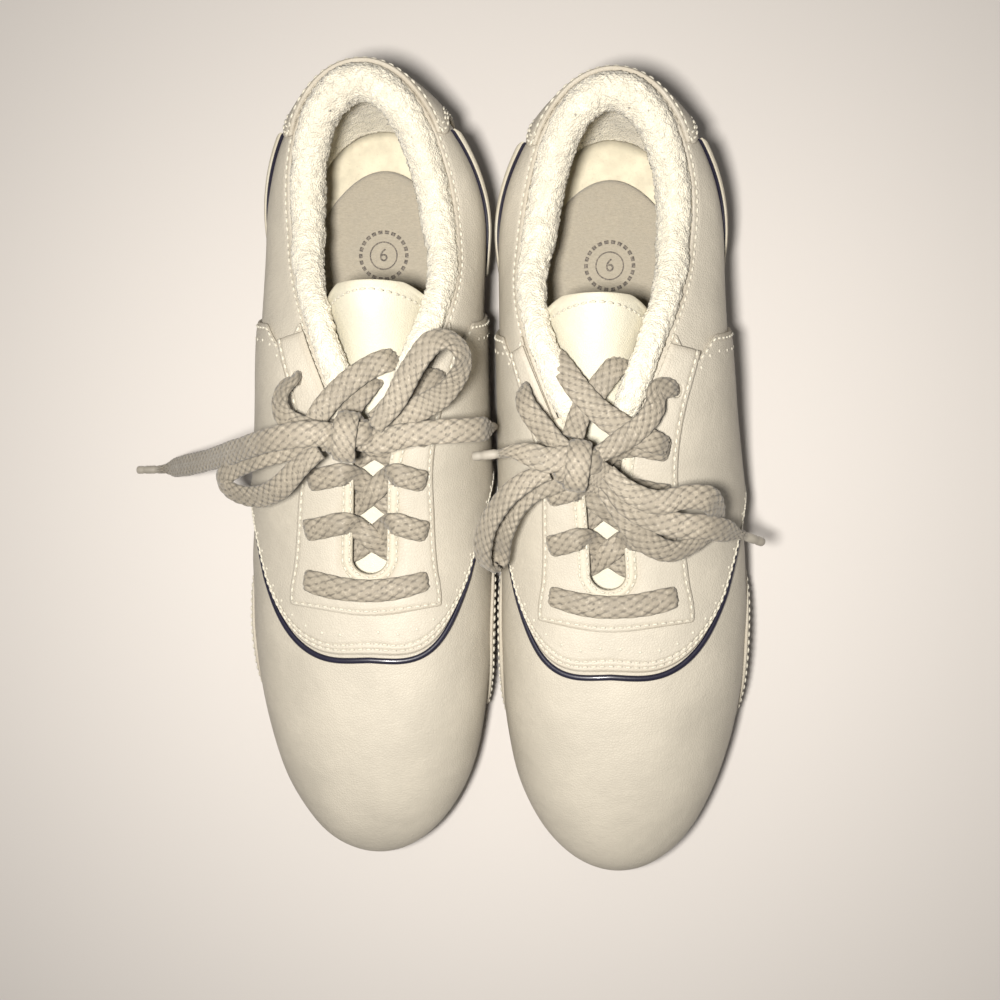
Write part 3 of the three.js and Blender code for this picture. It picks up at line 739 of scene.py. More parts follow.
class CheerShoeColours(bpy.types.PropertyGroup):
    """Base colours of the finishes."""
    leather: colour_property("Leather", "Coated leather of the upper", (0.47, 0.43, 0.355))
    tongue: colour_property("Tongue", "Leather of the tongue", (0.61, 0.575, 0.46))
    binding: colour_property("Binding", "Bound edge of the throat", (0.54, 0.50, 0.405))
    thread: colour_property("Thread", "Sewing thread", (0.59, 0.55, 0.45))
    terry: colour_property("Terry", "Towelling of the collar", (0.79, 0.73, 0.585))
    felt: colour_property("Felt", "Sock liner", (0.41, 0.365, 0.285))
    board: colour_property("Board", "Insole board at the heel", (0.67, 0.61, 0.46))
    rubber: colour_property("Rubber", "Sole", (0.38, 0.35, 0.31))
    lace: colour_property("Lace", "Braided laces", (0.275, 0.24, 0.185))
    aglet: colour_property("Aglet", "Moulded lace tips", (0.33, 0.30, 0.25))
    piping: colour_property("Piping", "Dark piping", (0.008, 0.007, 0.02))
    floor: colour_property("Floor", "Plain floor", (0.60, 0.565, 0.53))


def finish_named(name, make, *args):
    """The material of that name, made on first use."""
    return bpy.data.materials.get(name) or make(name, *args)


def finishes(context):
    c = context.scene.cheer_shoe_colours
    return {
        "leather": finish_named("Coated leather", leather, tuple(c.leather)),
        "tongue": finish_named("Tongue leather", leather, tuple(c.tongue), 0.0007),
        "binding": finish_named("Binding leather", leather, tuple(c.binding), 0.0006),
        "thread": finish_named("Sewing thread", thread, tuple(c.thread)),
        "terry": finish_named("Terry towelling", terry, tuple(c.terry)),
        "felt": finish_named("Pressed felt", felt, tuple(c.felt)),
        "board": finish_named("Insole board", board, tuple(c.board)),
        "rubber": finish_named("Sole rubber", rubber, tuple(c.rubber)),
        "lace": finish_named("Braided lace", braid, tuple(c.lace)),
        "aglet": finish_named("Moulded tip", gloss, tuple(c.aglet), 0.42, 0.25),
        "piping": finish_named("Dark piping", gloss, tuple(c.piping), 0.3, 0.6),
        "stiffener": finish_named("Stiffener board", board, (0.72, 0.68, 0.6)),
        "ink": finish_named("Stamping ink", ink, (0.09, 0.08, 0.07)),
    }


# ---- the pieces of a shoe ----
def rise_near_edge(s):
    """Length of a rib for a unit of v, close to the opening edge."""
    return np.linalg.norm(last_point(s, 1.0) - last_point(s, 0.97), axis=-1) / 0.03


def vamp_region(u, t):
    s = mix(-VAMP_END, VAMP_END, u)
    top = SADDLE_TOP * np.sqrt(1 - (s / (VAMP_END + 0.015)) ** 2) + 0.03
    return s, mix(0.02, top, t)


def saddle_front(angle):
    """The saddle's front edge, a U drawn over the toes, for an angle from -90 to 90 degrees."""
    return SADDLE_CORNER * np.sin(angle), SADDLE_TOP * np.cos(angle)


SADDLE_SHARE, SADDLE_REAR_FOOT, SADDLE_REAR_TOP = 0.78, 0.7, 0.655
SADDLE_NOTCH, NOTCH_PLACE, NOTCH_HALF = 0.03, 0.87, 0.12   # the V where the side panel meets it


def saddle_region(u, t):
    w = 2 * u - 1
    a = np.abs(w)
    front_s, front_v = saddle_front(np.minimum(1.54, a / SADDLE_SHARE * np.pi / 2))
    foot_s = mix(SADDLE_CORNER, SADDLE_REAR_FOOT, (a - SADDLE_SHARE) / (1 - SADDLE_SHARE))
    low_s = np.where(a < SADDLE_SHARE, front_s, foot_s)
    low_v = np.where(a < SADDLE_SHARE, np.maximum(0.03, front_v), 0.03)
    notch = SADDLE_NOTCH * np.maximum(0, 1 - np.abs(t - NOTCH_PLACE) / NOTCH_HALF)
    s = mix(low_s, SADDLE_REAR_TOP * a, t) - notch * smooth(0.84, 1, a)
    high_v = 1 - 1.6 / rise_near_edge(SADDLE_REAR_TOP * a)
    return np.sign(w) * s, mix(low_v, high_v, t)


def stay_edge(s):
    """The outer edge of the stay that carries the eyelets: a shallow bow across in front."""
    a = np.abs(s)
    side = 0.725 + 0.045 * smooth(STAY_CORNER, 0.47, a) + 0.06 * smooth(0.45, 0.62, a)
    heights = np.linspace(0.6, 1, 60)
    front = [np.interp(STAY_FRONT_Y - STAY_FRONT_BOW * (1 - (place / STAY_CORNER) ** 2),
                       last_point(place, heights)[:, 1], heights) for place in s[:, 0]]
    return np.maximum(np.array(front)[:, None], side)


def stay_region(u, t):
    s = mix(-0.645, 0.645, u)
    return s, mix(stay_edge(s), 1 - 0.9 / rise_near_edge(s), t)


def binding_region(u, t):
    s = mix(-0.575, 0.575, u)
    return s, 1 + mix(-1.7, 1.8, t) / rise_near_edge(s)


def quarter_region(side):
    return lambda u, t: (side * mix(VAMP_END + 0.002, 0.9965, u), mix(0.02, 1.0, t))


def heel_tab_region(u, t):
    spread = 0.12 + 0.03 * smooth(0.62, 0.95, t)
    return 1 + (2 * u - 1) * spread, mix(0.04, 0.985, t)


def stripe_region(side, half):
    """A stripe down and forwards from the heel tab; half is its half width in v."""
    return lambda u, t: (side * mix(0.722 if half > 0.06 else 0.727, 0.862, u),
                         mix(0.16, 0.7, u) + mix(-half, half, t))


def flank_region(side):
    def region(u, t):
        top = 0.05 + 0.2 * np.sin(np.pi * mix(0.08, 0.92, u))
        return side * mix(0.29, 0.455, u), mix(0.015, top, t)
    return region


def eyelet_height(s):
    return 0.84 + 0.05 * smooth(0.46, 0.6, np.abs(s))


def punch_eyelets(obj, side):
    """Opens a round hole at each eyelet of a stay that is still a single sheet."""
    bm = bmesh.new()
    bm.from_mesh(obj.data)
    for s in EYELETS:
        for sign in (1, -1):
            centre = Vector(in_pair(on_last(sign * s, eyelet_height(s), STAY_FACE), side))
            inside = [f for f in bm.faces
                      if (f.calc_center_median() - centre).length < EYELET_RADIUS * MM]
            bmesh.ops.delete(bm, geom=inside, context="FACES")
            for vert in bm.verts:
                reach = vert.co - centre
                if vert.is_boundary and reach.length < EYELET_RADIUS * 1.7 * MM:
                    vert.co = centre + reach.normalized() * EYELET_RADIUS * MM
    bm.to_mesh(obj.data)
    bm.free()


def make_upper(context, name, side):
    paint, sizes = finishes(context), context.scene.cheer_shoe_sizes
    body = f"{name}_shoe"
    seams, dots = [], []
    pitch = sizes.stitch_pitch / MM

    def add(part, region, face, cells, thickness, rows=(), dotted=(), finish="leather",
            soft=0.22, nodes=None, skive=0.55):
        grooves = {}
        for edge, inset in rows:
            grooves.setdefault(edge, []).append(inset)
        panel = Panel(region, face, cells, grooves, skive, soft, seed=side * 3.7)
        obj = panel.make(f"{name}_{part}_leather", side, thickness)
        keep(obj, body, paint[finish],
             [f"{name}_{part}"] if nodes is None else nodes)
        for edge, inset in rows:
            seams.extend(frames(panel.line(edge, inset), side, pitch, STITCH_LIFT))
        for edge, inset, step in dotted:
            dots.extend(frames(panel.line(edge, inset), side, step, DOT_LIFT))
        return obj

    add("vamp", vamp_region, SKIN_FACE, (96, 60), 1.3, soft=0.4)
    add("saddle", saddle_region, OVERLAY_FACE, (200, 60), 1.4,
        rows=[("low", 2.0), ("start", 1.9), ("end", 1.9), ("low", 3.9)],
        dotted=[("low", 8.0, 6.2), ("start", 6.2, 5.4), ("end", 6.2, 5.4)])
    stay = add("eyestay", stay_region, STAY_FACE, (220, 26), 1.1, rows=[("low", 1.7)], soft=0.1)
    punch_eyelets(stay, side)
    add("throat_binding", binding_region, STAY_FACE + 0.55, (150, 8), 1.5,
        rows=[("high", 0.7), ("low", 0.7)], finish="binding", soft=0.05,
        skive=0.4)
    for where, sign in (("outer", 1), ("inner", -1)):
        add(f"quarter_{where}", quarter_region(sign), SKIN_FACE, (90, 48), 1.3,
            rows=[("high", 1.6)])
        add(f"side_stripe_{where}", stripe_region(sign, 0.05), OVERLAY_FACE + 0.5, (60, 10), 1.0,
            finish="binding", soft=0.05)
        add(f"side_stripe_trim_{where}", stripe_region(sign, 0.06), OVERLAY_FACE - 0.2, (60, 10),
            1.2, finish="piping", soft=0.05, nodes=())
        add(f"flank_patch_{where}", flank_region(sign), OVERLAY_FACE - 0.2, (64, 24), 1.3,
            rows=[("high", 1.5), ("high", 3.3)], soft=0.08)
    add("toe_puff", lambda u, t: (mix(-0.27, 0.27, u), mix(0.06, 0.6, t)), STIFFENER_FACE, (40, 20),
        1.2, finish="stiffener", soft=0)
    add("heel_counter", lambda u, t: (mix(0.77, 1.23, u), mix(0.06, 0.7, t)), STIFFENER_FACE,
        (70, 20), 1.2, finish="stiffener", soft=0)
    add("heel_tab", heel_tab_region, OVERLAY_FACE, (60, 60), 1.4,
        rows=[("start", 1.8), ("end", 1.8), ("high", 1.8), ("start", 3.6), ("end", 3.6)],
        soft=0.15)
    keep(stitches(f"{name}_stitching", sizes, seams), body, paint["thread"])
    keep(perforations(f"{name}_perforations", dots), body, paint["thread"])


def make_piping(context, name, side):
    paint, sizes = finishes(context), context.scene.cheer_shoe_sizes
    angle = np.linspace(-1.32, 1.32, 220)
    s, v = saddle_front(angle)
    centre = on_last(s, v - 0.011 - 0.01 * np.abs(np.sin(angle)), 0.55)
    out = last_normal(s, v - 0.01)
    along = unit(np.gradient(centre, axis=0))
    across = np.cross(along, out)
    radius = sizes.piping_radius / MM * mix(1, 0.45, smooth(0.5, 1.3, np.abs(angle)))
    turn = np.linspace(0, 2 * np.pi, 13)
    rings = (centre[:, None] + across[:, None] * (np.cos(turn)[None] * radius[:, None])[..., None]
             + out[:, None] * (np.sin(turn)[None] * 0.8 * radius[:, None])[..., None])
    obj = closed_tube(f"{name}_piping_arc", in_pair(rings, side))
    keep(obj, f"{name}_shoe", paint["piping"], [f"{name}_piping"])


def make_collar(context, name, side):
    """The padded towelling roll and the towelling wall below it."""
    paint, body = finishes(context), f"{name}_shoe"
    count, sides = 560, 56
    place = np.linspace(COLLAR_START, 2 - COLLAR_START, count)
    s = np.where(place > 1, place - 2, place)
    a = np.abs(s)
    edge = opening_edge(s)
    ahead, before = (opening_edge(np.where(near > 1, near - 2, near))
                     for near in (place + 0.004, place - 0.004))
    along = unit((ahead - before) * (1, 1, 0))
    inward = np.stack([-along[:, 1], along[:, 0], along[:, 2] * 0], -1)
    throat = 1 - smooth(0.62, 0.8, a)
    end_round = np.sqrt(np.clip((a - COLLAR_START) / 0.022, 0.004, 1))
    sag = 1 + 0.05 * waves(edge, 21.0, 4.0)
    half_wide = mix(5.0, 3.6, throat) * end_round * sag
    half_tall = mix(6.4, 3.8, throat) * end_round * sag
    middle = mix(5.9, 4.0, throat)
    turn = np.linspace(0, 2 * np.pi, sides + 1)
    x, z = np.cos(turn)[None] * half_wide[:, None], np.sin(turn)[None] * half_tall[:, None]
    centre = edge + inward * middle[:, None] + np.stack(
        [0 * a, 0 * a, mix(-1.6, 1.4, throat)], -1)
    up = np.array([0, 0, 1.0])
    rings = centre[:, None] + inward[:, None] * x[..., None] + up * z[..., None]
    out = unit(inward[:, None] * (x / half_wide[:, None] ** 2)[..., None]
               + up * (z / half_tall[:, None] ** 2)[..., None])
    tufts = nubs(rings, 1.4) * 0.95 + waves(rings, 3.1) * 0.35 + waves(rings, 9.0, 7.0) * 0.35
    tufts[:, -1] = tufts[:, 0]
    rings = rings + out * (tufts * end_round[:, None])[..., None]
    inner = smooth(-0.2, 0.6, np.cos(turn))[None]
    wear = smooth(0.72, 0.93, a)[:, None] * mix(0.25, 1.0, inner)
    obj = closed_tube(f"{name}_collar_roll", in_pair(rings, side), {"wear": wear})
    keep(obj, body, paint["terry"], [f"{name}_collar"])

    u, t = np.meshgrid(np.linspace(0.5, 1.5, 260), np.linspace(0.06, 0.9, 70), indexing="ij")
    inside = on_last(u, t, -5.0)
    facing = -last_normal(u, t)
    inside += facing * (nubs(inside, 1.4) * 0.5 + waves(inside, 12.0) * 0.5)[..., None]
    rear = smooth(0.72, 0.9, 1 - np.abs(u - 1))
    bm = grid_mesh(in_pair(inside, side), {"wear": rear * mix(0.9, 0.5, t)},
                   outward=turned(facing, side))
    wall = thicken(from_bmesh(f"{name}_towelling_wall", bm), 1.2, levels=0)
    keep(wall, body, paint["terry"], [f"{name}_heel_lining"])


def tongue_point(across, y, drop=0.0):
    along = (y - TONGUE_BASE_Y + 1) / (TONGUE_TOP_Y - TONGUE_BASE_Y + 1)
    rounded = np.sqrt(np.clip(1 - (np.maximum(y - TONGUE_TIP_Y, 0) / 9.5) ** 2, 0, 1))
    half = mix(13.4, 16, smooth(50, 58, y)) * np.maximum(rounded, 0.02)
    half = half * mix(1.0, 1.14, smooth(20, 50, y))
    x = across * half
    curl = 0.012 + 0.05 * smooth(15, 45, y)
    crown = 51.5 + 32 * along ** 1.6
    centre = -6.3 - 4.2 * smooth(-30, 40, y)
    return np.stack([centre + x, y + 0 * x, crown - curl * x * x - drop], -1)


def make_tongue(context, name, side):
    paint, sizes = finishes(context), context.scene.cheer_shoe_sizes
    body = f"{name}_tongue"
    middle = 30
    across, t = np.meshgrid(np.linspace(-1, 1, 2 * middle + 1), dense_ends(110), indexing="ij")
    y = mix(TONGUE_BASE_Y, TONGUE_TOP_Y, t)
    flat = tongue_point(across, y)
    steps = np.linalg.norm(np.diff(flat, axis=1), axis=-1)
    up = np.concatenate([np.zeros((len(t), 1)), np.cumsum(steps, 1)], 1)
    half = np.abs(flat[..., 0] - flat[middle, :, 0])
    edge = np.minimum(half[-1] - half, up[middle, -1] - up[middle])
    swell = 0.55 * smooth(0, 10, edge) + 0.25 * waves(flat, 15.0, side * 2.0)
    groove = -0.4 * np.exp(-((edge - TONGUE_SEAM) / 0.7) ** 2) - 0.5 * np.exp(-(edge / 0.6) ** 2)
    top = flat + np.array([0, 0, 1.0]) * (swell + groove)[..., None]
    bm = grid_mesh(in_pair(top, side), {"edge": np.clip(edge / EDGE_FADE, 0, 1)},
                   outward=turned(np.broadcast_to([0, 0, 1.0], top.shape), side))
    leather_piece = thicken(from_bmesh(f"{name}_tongue_leather", bm), 1.4)
    keep(leather_piece, body, paint["tongue"], [f"{name}_tongue"])

    # The stitch row follows the edge round the free end.
    angle = np.linspace(-np.pi / 2, np.pi / 2, 60)
    reach = 1 - TONGUE_SEAM / 17.0
    side_y = np.linspace(18, TONGUE_TIP_Y, 30)
    tip_y = TONGUE_TIP_Y + (TONGUE_TOP_Y - TONGUE_TIP_Y - TONGUE_SEAM) * np.cos(angle[1:-1])
    line_y = np.concatenate([side_y, tip_y, side_y[::-1]])
    line_x = np.concatenate([-np.ones(30), np.sin(angle[1:-1]), np.ones(30)]) * reach
    row = tongue_point(line_x, line_y) + (0, 0, 0.62)
    seams = frames((row, np.broadcast_to([0, 0.0, 1.0], row.shape)), side,
                   sizes.stitch_pitch / MM, STITCH_LIFT)
    keep(stitches(f"{name}_tongue_stitching", sizes, seams), body, paint["thread"])

    across, y = np.meshgrid(np.linspace(-0.93, 0.93, 50),
                            np.linspace(TONGUE_BASE_Y + 1, TONGUE_TOP_Y - 1.2, 130), indexing="ij")
    rim = (1 - np.abs(across / 0.93) ** 6)
    upper = tongue_point(across, y, 1.5)
    lower = tongue_point(across, y, 1.7 + 3.6 * np.maximum(rim, 0.0) ** 0.5)
    lower += nubs(lower, 1.5)[..., None] * (0, 0, -0.45)
    shell = np.concatenate([upper, lower[::-1]])
    shell = np.concatenate([shell, shell[:1]])
    rings = shell.swapaxes(0, 1)
    pad = closed_tube(f"{name}_tongue_padding", in_pair(rings, side),
                      {"wear": np.full(rings.shape[:2], 0.25)})
    keep(pad, body, paint["terry"], [f"{name}_tongue_pad"])


def disc_points(inset, height, rings, count, stop_y=None):
    """A layer under the foot: rings from its middle out to the outline drawn in by inset."""
    s = np.linspace(-1, 1, count)
    edge = outline(s) - outline_normal(s) * inset
    centre = np.array([middle_x(0.0), 0.0])
    share = np.linspace(0, 1, rings)[:, None, None]
    plan = centre + (edge - centre)[None] * share
    if stop_y is not None:
        y = plan[..., 1]
        limit = stop_y - 0.016 * (plan[..., 0] - middle_x(95.0)) ** 2
        behind = (y - SQUEEZE_Y) / (HEEL_Y - 8 - SQUEEZE_Y)
        plan[..., 1] = np.where(y > SQUEEZE_Y, mix(SQUEEZE_Y, limit, behind), y)
    z = height(plan[..., 1]) + 0 * plan[..., 0]
    return np.concatenate([plan, z[..., None]], -1)


def make_insole(context, name, side):
    paint, body = finishes(context), f"{name}_shoe"
    rings = 40
    top = disc_points(7.5, lambda y: sole_top(y) + 2.9, rings, 180)
    rim = smooth(0.85, 1.0, np.linspace(0, 1, rings))
    top[..., 2] += 0.25 * waves(top, 14.0) + 0.5 * rim[:, None]
    base = thicken(closed_sheet(f"{name}_board", in_pair(top, side)), 1.4, levels=0)
    keep(base, body, paint["board"], [f"{name}_insole_board"])

    rings = 70
    liner = disc_points(8.2, lambda y: sole_top(y) + 5.4, rings, 260, HEEL_Y - 21)
    share = np.linspace(0, 1, rings)[:, None]
    liner[..., 2] += 0.3 * waves(liner, 12.0, 2.0) - 0.5 * smooth(0.97, 1, share)
    liner[..., 2] += 0.9 * smooth(0.8, 1.0, share) * (liner[..., 1] < 70)
    wear = smooth(20, 95, liner[..., 1]) * mix(1, 0.6, share)
    felt_piece = thicken(closed_sheet(f"{name}_liner", in_pair(liner, side), {"wear": wear}), 1.7,
                         levels=0)
    keep(felt_piece, body, paint["felt"], [f"{name}_sock_liner"])

    # A plain size mark: a ring, a circle of dashes round it and the size number.
    centre = np.array([middle_x(STAMP_Y), STAMP_Y, 0.0])
    marks = bmesh.new()

    def stamp(place):
        flat = place + centre
        flat[..., 2] = sole_top(flat[..., 1]) + 5.62
        return in_pair(flat, side)
    turn = np.linspace(0, 2 * np.pi, 49)
    ring = [np.stack([r * np.cos(turn), r * np.sin(turn), 0 * turn], -1)
            for r in (STAMP_RING, STAMP_RING + 0.45)]
    pieces = [stamp(np.stack(ring))]
    for k in range(STAMP_DASHES):
        middle = 2 * np.pi * k / STAMP_DASHES
        arc = np.linspace(middle - 0.09, middle + 0.09, 4)
        pieces.append(stamp(np.stack([np.stack([r * np.cos(arc), r * np.sin(arc), 0 * arc], -1)
                                      for r in (7.4, 8.6)])))
    for points in pieces:
        part = grid_mesh(points, outward=np.broadcast_to([0, 0, 1.0], points.shape))
        mesh = bpy.data.meshes.new("mark")
        part.to_mesh(mesh)
        part.free()
        marks.from_mesh(mesh)
        bpy.data.meshes.remove(mesh)
    keep(thicken(from_bmesh(f"{name}_size_ring", marks), 0.12, levels=0), body, paint["ink"])
    text = bpy.data.curves.new(f"{name}_size", "FONT")
    text.body, text.size = "6", 0.0062
    text.align_x = text.align_y = "CENTER"
    holder = bpy.data.objects.new("text", text)
    mesh = bpy.data.meshes.new_from_object(holder)
    bpy.data.objects.remove(holder)
    points = np.array([v.co for v in mesh.vertices]) / MM * (side, 1, 0)
    for vert, place in zip(mesh.vertices, stamp(points)):
        vert.co = place
    number = bpy.data.objects.new(f"{name}_size_number", mesh)
    bpy.context.scene.collection.objects.link(number)
    keep(thicken(number, 0.12, levels=0, offset=1), body, paint["ink"])


def closed_sheet(name, points, values=None):
    """A sheet of rings round a middle point, facing up."""
    bm = grid_mesh(points, values)
    bmesh.ops.remove_doubles(bm, verts=bm.verts, dist=1e-6)
    bm.normal_update()
    if sum(face.normal.z for face in bm.faces) < 0:
        bmesh.ops.reverse_faces(bm, faces=bm.faces)
    return from_bmesh(name, bm)


def sole_inset(s):
    a = np.abs(s)
    front = mix(1.2, -1.8, 1 - smooth(0.1, 0.35, a))
    return mix(front, 4.2, smooth(0.42, 0.62, a)) - 1.2 * smooth(0.75, 1, a)


def sole_shell(name, profile, side, count=720):
    """A closed layer of the sole. Each (inset, height) of the profile, both functions of s and
    y, is one ring from the middle of the bottom, up the side, to the middle of the top."""
    s = np.linspace(-1, 1, count)
    normal = outline_normal(s)
    rings = []
    for inset, height in profile:
        if inset is None:
            plan = np.repeat([[middle_x(0.0), 0.0]], count, 0)
        else:
            plan = outline(s) - normal * (sole_inset(s) + inset(s))[:, None]
        rings.append(np.concatenate([plan, height(plan[:, 1])[:, None]], -1))
    return from_bmesh(name, grid_mesh(in_pair(np.stack(rings), side), closed=True))


def make_sole(context, name, side):
    paint, body = finishes(context), f"{name}_shoe"
    places = np.linspace(-1, 1, 2001)
    length = np.concatenate([[0], np.cumsum(np.linalg.norm(
        np.diff(outline(places), axis=0), axis=1))])

    def teeth(depth):
        def cut(s):
            turn = np.interp(s, places, length) / TREAD_PITCH * 2 * np.pi
            return depth * smooth(-0.25, 0.25, np.sin(turn)) - 0.5 * depth
        return cut

    def plain(amount):
        return lambda s: amount + 0 * s

    outsole = sole_shell(f"{name}_outsole_rubber", [
        (None, lambda y: spring(y) + 1.3), (plain(22), lambda y: spring(y) + 1.3),
        (plain(5), lambda y: spring(y) + 1.2), (teeth(1.1), lambda y: spring(y) + 0.15),
        (teeth(1.0), lambda y: spring(y) + 0.9), (teeth(0.9), lambda y: spring(y) + 2.6),
        (plain(-0.1), lambda y: spring(y) + 3.1), (plain(-0.5), lambda y: spring(y) + 3.6),
        (plain(-0.5), lambda y: spring(y) + 4.6), (plain(-0.1), lambda y: spring(y) + 5.0),
        (plain(5), lambda y: spring(y) + 5.0), (None, lambda y: spring(y) + 5.0)], side)
    keep(outsole, body, paint["rubber"], [f"{name}_outsole"])
    ribs = [(0.7, 0.02), (0.25, 0.1), (0.0, 0.25), (0.25, 0.38), (0.45, 0.45), (0.25, 0.52),
            (0.0, 0.66), (-0.2, 0.85), (0.0, 0.96), (0.8, 1.0)]
    rings = [(None, lambda y: spring(y) + 5.2), (plain(5), lambda y: spring(y) + 5.2)]
    rings += [(plain(inset), lambda y, h=h: mix(spring(y) + 5.2, sole_top(y) + 0.2, h))
              for inset, h in ribs]
    rings += [(plain(1.6), lambda y: sole_top(y) + 1.5), (plain(3.4), lambda y: sole_top(y) + 1.1),
              (plain(6), lambda y: sole_top(y) + 0.2), (None, lambda y: sole_top(y) + 0.2)]
    keep(sole_shell(f"{name}_midsole_foam", rings, side), body, paint["rubber"],
         [f"{name}_midsole"])

    lugs = []
    for row, y in enumerate(np.arange(-112, 120, 7.0)):
        s = np.linspace(-1, 1, 801)
        edge = outline(s) - outline_normal(s) * (sole_inset(s) + 7.5)[:, None]
        near = edge[np.abs(edge[:, 1] - y) < 2.0]
        if len(near) < 2:
            continue
        low, high = near[:, 0].min(), near[:, 0].max()
        count = int((high - low) / 8.5)
        for k in range(count):
            x = low + (high - low) * (k + 0.5 + 0.25 * (row % 2 * 2 - 1) * (count > 3)) / count
            centre = in_pair((x, y, float(spring(y)) + 0.75), side)
            lugs.append(Matrix.Translation(centre) @ Matrix.Rotation(0.6 * (-1) ** row, 4, "Z"))
    keep(repeated(f"{name}_tread", lambda bm: bmesh.ops.create_cone(
        bm, cap_ends=True, segments=6, radius1=2.3 * MM, radius2=2.9 * MM, depth=1.4 * MM,
        matrix=Matrix.Diagonal((1.35, 0.8, 1, 1))), lugs), body, paint["rubber"])


# ---- laces ----
LEANS = {   # how far each strand's flat face leans from straight up, and how its loop stands
    "right": {"loop_a": ((0.1, 0.1, 0), 1.1), "tail_a": ((-0.9, 0, 0), 0),
              "loop_b": ((-0.5, -0.25, 0), 0.9), "tail_b": ((0.9, 0, 0), 0)},
    "left": {"loop_a": ((-0.9, -0.3, 0), 0.7), "tail_a": ((-0.2, 0, 0), 0),
             "loop_b": ((0.45, -0.35, 0), 0.5), "tail_b": ((0.8, -0.3, 0), 0)},
}
STRAND_LENGTHS = {"right": (0.22, 0.16), "left": (0.13, 0.175)}   # metres, with loop and tail

# Short stretches beside the knot, given in the pair's frame: route and lean of the face.
EXTRAS = {
    "right": {
        "from_outer_top": ([(-56.6, 38.0, 70), (-57.2, 37.8, 75), (-60, 34.5, 77.5),
                            (-60.8, 30, 78.5), (-58.5, 25.5, 79.5), (-52.5, 23, 81.5),
                            (-45, 21.7, 83.5)], (-0.8, 0.2, 0)),
        "throat_top": ([(-51, 23.2, 80), (-46.2, 30.0, 80.5), (-40, 36.3, 79.4),
                        (-33.8, 40.9, 77.6), (-28.8, 43.2, 75.6), (-26.6, 44, 70.5)], (0, 0, 0)),
        "throat_under": ([(-33.2, 38.6, 69.5), (-34.4, 36.6, 73.6), (-36.5, 33.5, 75.5),
                          (-39, 29.5, 77), (-41, 25, 79)], (0, 0, 0)),
        "from_inner_top": ([(-13, 38.5, 71), (-14, 38.2, 76), (-18.5, 36, 79.5),
                            (-25, 31, 82), (-31.5, 25, 84)], (0.6, 0.3, 0)),
    },
    "left": {
        "from_inner_top": ([(12.8, 34.5, 70.5), (11.8, 34.2, 75), (12.6, 30, 78.6),
                            (15.5, 25.5, 80), (20, 20.5, 81.6), (25, 16, 83)], (-0.8, 0.2, 0)),
        "throat_top": ([(19.6, 45.8, 69.5), (21.2, 43.6, 74.6), (24.4, 39.4, 77), (29, 33, 79),
                        (35.5, 26.5, 79.6), (43.5, 21.5, 79), (50.5, 18.6, 77),
                        (54, 17.4, 72.5)], (0.1, 0, 0)),
        "throat_under": ([(41.2, 44, 69), (39.8, 42.2, 73.6), (36.5, 38, 76), (32, 32, 76.4),
                          (28.5, 26.5, 77.5), (26.5, 20, 80)], (0, 0, 0)),
        "from_outer_top": ([(56.8, 34.3, 70.5), (55.5, 34.6, 75.6), (51, 33.5, 80),
                            (50, 28.5, 81.4), (46.5, 23.5, 82), (40, 18.7, 83),
                            (34, 15, 84)], (0.8, 0.2, 0)),
    },
}


def facings(points, lean, stand=0.0):
    """Face directions for a strand: up, leaned over, and stood on edge where a loop turns."""
    p = np.asarray(points, float)
    face = np.zeros_like(p) + (0, 0, 1.0) + np.asarray(lean, float)
    if stand:
        outwards = unit((p - p.mean(0)) * (1, 1, 0))
        face = face + outwards * (stand * np.sin(np.linspace(0, np.pi, len(p))) ** 2)[:, None]
    return unit(face)


def make_bow(context, name, _side):
    paint, sizes = finishes(context), context.scene.cheer_shoe_sizes
    routes, leans, body = BOWS[name], LEANS[name], f"{name}_shoe"
    for letter, stated in zip("ab", STRAND_LENGTHS[name]):
        loop, tail = routes[f"loop_{letter}"], routes[f"tail_{letter}"]
        through = routes[f"through_{letter}"]
        face = np.concatenate([
            facings(loop, *leans[f"loop_{letter}"]), facings(through, (0, 0, 0)),
            facings(tail, *leans[f"tail_{letter}"])])
        obj, path = ribbon(f"{name}_bow_strand_{letter}", strand(loop + through + tail), face,
                           sizes, pinch=(0.35, 0.62))
        keep(obj, body, paint["lace"],
             [f"{name}_lace_loop_{letter}", f"{name}_lace_tail_{letter}"])
        tip = make_aglet(context, name, letter)
    knot = np.array(routes["knot"], float)
    count = 15
    turns = np.linspace(np.radians(-70), np.radians(250), count)
    wrap = np.stack([knot[0] + np.linspace(-1.8, 1.8, count),
                     knot[1] - np.cos(turns) * 6.4, knot[2] + np.sin(turns) * 4.9], -1)
    band, _ = ribbon(f"{name}_knot_band", strand(wrap),
                     unit(wrap - knot + (0, 0, 0.4)), sizes, pinch=(0.2, 0.2))
    keep(band, body, paint["lace"], [f"{name}_lace_knot"])
    slant = np.stack([knot[0] - np.cos(turns) * 6.0, knot[1] + np.linspace(-3.2, 3.2, count),
                      knot[2] - 1.2 + np.sin(turns) * 3.8], -1)
    tuck, _ = ribbon(f"{name}_knot_tuck", strand(slant), unit(slant - knot + (0, 0, 0.4)), sizes,
                     pinch=(0.2, 0.2))
    keep(tuck, body, paint["lace"])


